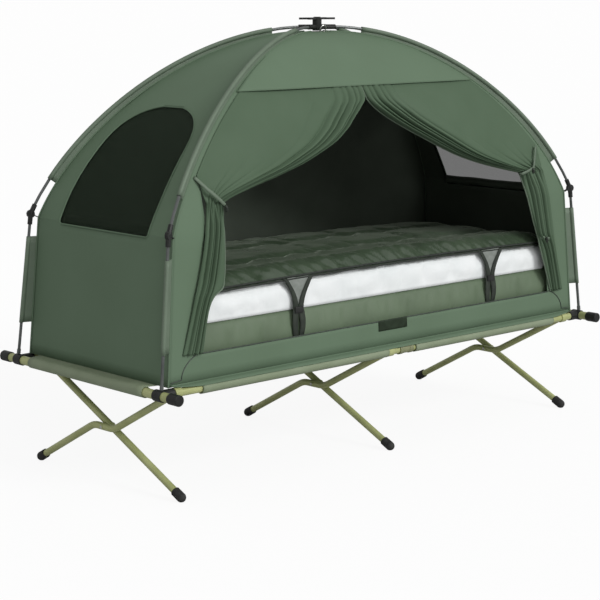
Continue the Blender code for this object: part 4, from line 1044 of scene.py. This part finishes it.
# Mattress and white pad
# An air mattress in a green cloth cover, its long side drawn into shallow upright tucks, and on
# it a thick pad in a bright white cover.
def filled_pad(name, half_x, half_y, low, high, edge, cuts, finish, relief):
    """A stuffed cushion: a rounded block whose sides swell, with its own relief on top."""
    shape = bmesh.new()
    bmesh.ops.create_grid(shape, x_segments=cuts[0], y_segments=cuts[1], size=1)
    layer = shape.loops.layers.uv.new("cut")
    raised = bmesh.ops.extrude_face_region(shape, geom=shape.faces[:])["geom"]
    top = [part for part in raised if isinstance(part, bmesh.types.BMVert)]
    bmesh.ops.translate(shape, vec=(0, 0, 1), verts=top)
    upright = [line for line in shape.edges if abs(line.verts[0].co.z - line.verts[1].co.z) > 0.5]
    bmesh.ops.subdivide_edges(shape, edges=upright, cuts=cuts[2], use_grid_fill=True)
    for vert in shape.verts:
        x, y, z = vert.co
        belly = 1 - (2 * z - 1) ** 4
        roll = edge * (1 - belly)
        spot = Vector((x * half_x, y * half_y, low + (high - low) * z))
        if abs(x) > 0.999:
            spot.x -= math.copysign(roll, x)
        if abs(y) > 0.999:
            spot.y -= math.copysign(roll, y)
        vert.co = relief(spot, y, z)
    bmesh.ops.recalc_face_normals(shape, faces=shape.faces)
    for face in shape.faces:
        for loop in face.loops:
            spot = loop.vert.co
            if abs(face.normal.z) > 0.6:
                loop[layer].uv = (spot.x, spot.y)
            elif abs(face.normal.y) > abs(face.normal.x):
                loop[layer].uv = (spot.x, spot.z)
            else:
                loop[layer].uv = (spot.y, spot.z)
    return new_piece(name, shape, finish, "tent", 0)


def fill_out(piece, held, pressure, slack, cap):
    """Swells a cushion as cloth under pressure, with some points held, and keeps the result."""
    frames = 20
    rest = [vert.co.copy() for vert in piece.data.vertices]
    group = piece.vertex_groups.new(name="held")
    for vert in piece.data.vertices:
        grip = held(vert.co)
        if grip > 0:
            group.add([vert.index], grip, "REPLACE")
    cloth = piece.modifiers.new("filling", "CLOTH")
    cloth.settings.quality = 4
    cloth.settings.mass = 0.25
    cloth.settings.tension_stiffness = 20
    cloth.settings.compression_stiffness = 20
    cloth.settings.shear_stiffness = 8
    cloth.settings.bending_stiffness = 0.05
    cloth.settings.air_damping = 6
    cloth.settings.use_pressure = True
    cloth.settings.uniform_pressure_force = pressure
    cloth.settings.shrink_min = -slack
    cloth.settings.effector_weights.gravity = 0
    cloth.settings.vertex_group_mass = "held"
    cloth.point_cache.frame_start = 1
    cloth.point_cache.frame_end = frames
    scene = bpy.context.scene
    for number in range(1, frames + 1):
        scene.frame_set(number)
    swollen = piece.evaluated_get(bpy.context.evaluated_depsgraph_get())
    moved = [vert.co.copy() for vert in swollen.to_mesh().vertices]
    swollen.to_mesh_clear()
    piece.modifiers.remove(cloth)
    scene.frame_set(1)
    for vert, start, end in zip(piece.data.vertices, rest, moved):
        step = end - start
        vert.co = start + step * min(1, cap / max(step.length, 0.00001))
    piece.vertex_groups.remove(group)
    piece.data.update()


mattress_cover = new_finish("green_mattress_cover", (0.104, 0.148, 0.088), 0.58)
mottle(mattress_cover, 7, (0.095, 0.137, 0.080), (0.113, 0.160, 0.096), 4)
grain(mattress_cover, 18, 0.004, 0.35, 4, (1, 1, 0.35))
weave(mattress_cover, 0.0010, 0.00012, 0.4)


def mattress_relief(spot, y, z):
    if abs(y) > 0.999:
        tuck = noise.noise(Vector((spot.x * 14, 0, 4))) + 0.5 * noise.noise(Vector((spot.x * 33, 1, 0)))
        spot.y -= math.copysign(0.0022 * max(0, tuck + 0.2), y)
    return spot


mattress = filled_pad(
    "air_mattress", 0.876, 0.3185, 0.3535, 0.5115, 0.012, (176, 40, 12), mattress_cover,
    mattress_relief,
)


def mattress_grip(spot):
    """Holds the mattress's underside, top and welded rims; its upright sides swell."""
    return 1.0 if spot.z < 0.362 or spot.z > 0.505 else 0.0


fill_out(mattress, mattress_grip, 5.0, 0.012, 0.006)
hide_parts("mattress")
pad_cover = new_finish("white_pad_cover", (0.80, 0.82, 0.82), 0.75)
mottle(pad_cover, 9, (0.76, 0.79, 0.79), (0.83, 0.85, 0.85), 4)
grain(pad_cover, 22, 0.005, 0.4, 4, (1, 1, 0.6))
weave(pad_cover, 0.0010, 0.00012, 0.4)


def bed_arch(x):
    """How much the pad and the bag rise towards the middle of their length."""
    return 0.011 * max(0, 1 - ((x + 0.02) / 0.80) ** 2)


def pad_relief(spot, y, z):
    if abs(y) > 0.999:
        if z < 0.4:
            spot.y = math.copysign(0.3122, y)
        pucker = noise.noise(Vector((spot.x * 11, spot.z * 9, 7)))
        spot.y -= math.copysign(0.0015 + 0.002 * pucker * min(1, 2 * z), y)
    spot.z += bed_arch(spot.x) * z
    return spot


white_pad = filled_pad(
    "white_bed_pad", 0.810, 0.3135, 0.5125, 0.5958, 0.014, (162, 40, 8), pad_cover,
    pad_relief,
)


def pad_grip(spot):
    """Holds the pad's underside and top; its upright sides swell."""
    return 1.0 if spot.z < 0.5245 or spot.z - bed_arch(spot.x) > 0.592 else 0.0


fill_out(white_pad, pad_grip, 4.0, 0.011, 0.007)
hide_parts("white_pad")


# Sleeping bag
# A quilted bag of thin glossy nylon, laid flat over the pad. Its filling puffs between the sewn
# lines, and the cloth puckers towards the double piping along its front edge.
quilt_nylon = new_finish(
    "dark_quilted_nylon", (0.047, 0.072, 0.042), 0.25, Specular_IOR_Level=0.75, Sheen_Weight=0.25,
    Sheen_Roughness=0.35, Sheen_Tint=(0.80, 0.92, 0.74, 1),
)
mottle(quilt_nylon, 9, (0.042, 0.065, 0.038), (0.053, 0.080, 0.047), 4)
grain(quilt_nylon, 20, 0.006, 0.40, 4)
weave(quilt_nylon, 0.0006, 0.00008, 0.3)
bag_seams = (-0.316, -0.105, 0.105, 0.316)


def quilt_height(x, y):
    """The bag's top above its foot before it is filled: a low crown with its edges rounded off."""
    near_x = min(1, (0.822 - abs(x)) / 0.05)
    near_y = min(1, (0.3205 - abs(y)) / 0.060)
    edge = math.sqrt(max(0, 1 - (1 - max(0, near_x)) ** 2)) * math.sqrt(max(0, 1 - (1 - max(0, near_y)) ** 2))
    crown = 0.010 + 0.013 * (1 - (y / 0.32) ** 2) * (1 - 0.3 * (x / 0.82) ** 2)
    crown += 0.004 * noise.noise(Vector((x * 3.1, y * 5.3, 5)))
    crown += 0.019 * math.exp(-((y + 0.266) / 0.042) ** 2)
    pucker = noise.noise(Vector((x * 52 + y * 34, y * 12, 7)))
    crown += 0.0100 * math.exp(-((y + 0.292) / 0.038) ** 2) * pucker
    front = max(0, 1 - (y + 0.32) / 0.14)
    stir = (0.0022 + 0.0040 * front) * noise.noise(Vector((x * 13 + y * 6, y * 9, 3)))
    return max(0.004, 0.004 + edge * (crown + stir))


def quilt_relief(spot, y, z):
    high = quilt_height(spot.x, spot.y)
    spot.z = 0.5965 + high * z + bed_arch(spot.x)
    return spot


def bag_grip(spot):
    """Holds the bag's underside, its rim and its sewn lines while it is filled."""
    if spot.z - bed_arch(spot.x) < 0.598 or abs(spot.y) > 0.317 or abs(spot.x) > 0.818:
        return 1.0
    near = min(abs(spot.y - seam) for seam in bag_seams)
    return 0.25 if near < 0.004 else 0.0


sleeping_bag = filled_pad(
    "quilted_sleeping_bag", 0.8215, 0.3203, 0.5963, 0.62, 0.004, (220, 86, 2), quilt_nylon,
    quilt_relief,
)
fill_out(sleeping_bag, bag_grip, 2.0, 0.028, 0.014)
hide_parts("sleeping_bag")
binding = new_finish("dark_bag_piping", (0.012, 0.017, 0.012), 0.6)
mottle(binding, 60, (0.009, 0.013, 0.009), (0.017, 0.024, 0.017))
weave(binding, 0.0012, 0.0002, 0.5)
for number, rise in enumerate((0.0028, 0.0115)):
    spots = []
    for step in range(121):
        x = -0.815 + 1.63 * step / 120
        wander = 0.0012 * noise.noise(Vector((x * 9, number, 0)))
        spots.append((x, -0.3212 - 0.0004 * number, 0.5975 + rise + wander + bed_arch(x)))
    new_piece(
        "sleeping_bag_piping_" + str(number + 1), rod_along(spots, 0.0030, 8), binding, "tent",
    )


# Bed straps
# Two sets of webbing hold the bag to the bed: each has two ends that come down from the bag's
# edge, a grey tab between them, a small buckle, and a doubled tail below it.
tab_grey = new_finish("grey_strap_tab", (0.20, 0.22, 0.20), 0.7)
mottle(tab_grey, 50, (0.18, 0.20, 0.18), (0.23, 0.25, 0.23))
weave(tab_grey, 0.0012, 0.0002, 0.5)
for end, middle in (("left", -0.385), ("right", 0.505)):
    face_y = -0.3228
    lift = bed_arch(middle)
    shape = bmesh.new()
    for way in (-1, 1):
        path = []
        for step in range(21):
            share = step / 20
            x = middle + way * (0.054 - 0.043 * math.sin(math.pi / 2 * share))
            height = 0.604 + lift - (0.087 + lift) * share
            path.append((x, face_y - 0.0018 - 0.002 * math.sin(math.pi * share), height))
        for step in range(1, 16):
            share = step / 15
            x = middle + way * (0.009 + 0.007 * math.sin(math.pi * share))
            path.append((x, face_y - 0.0018 - 0.004 * math.sin(math.pi * share), 0.517 - 0.100 * share))
        strap = tape_along(path, 0.023, (1, 0, 0.35 * way), 0.19)
        part = bpy.data.meshes.new("strap_part")
        look_outwards(strap, (0, -1, 0)).to_mesh(part)
        strap.free()
        shape.from_mesh(part)
        bpy.data.meshes.remove(part)
    straps = new_piece(end + "_bed_straps", shape, dark_webbing, "tent", 0)
    thicken(straps, 0.0016)
    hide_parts("bed_strap_" + end)

    def lay_grey(across, along, middle=middle, lift=lift):
        half = 0.012 + 0.032 * along
        height = 0.522 + (0.082 + lift) * along
        return Vector((middle + half * (2 * across - 1), -0.3226, height))

    shape = cloth_grid(8, 8, (0.08, 0.082), lay_grey)
    grey = tent_sheet(end + "_strap_tab", shape, (0, -1, 0), tab_grey, 0.0008)
    shape = bmesh.new()
    bmesh.ops.create_cube(shape, size=1)
    bmesh.ops.scale(shape, vec=(0.034, 0.007, 0.020), verts=shape.verts)
    bmesh.ops.bevel(
        shape, geom=shape.edges[:], offset=0.0022, offset_type="OFFSET", segments=3, profile=0.5,
        affect="EDGES", material=-1,
    )
    bmesh.ops.translate(shape, vec=(middle, -0.3272, 0.512), verts=shape.verts)
    new_piece(end + "_strap_buckle", shape, black_nylon, "tent")
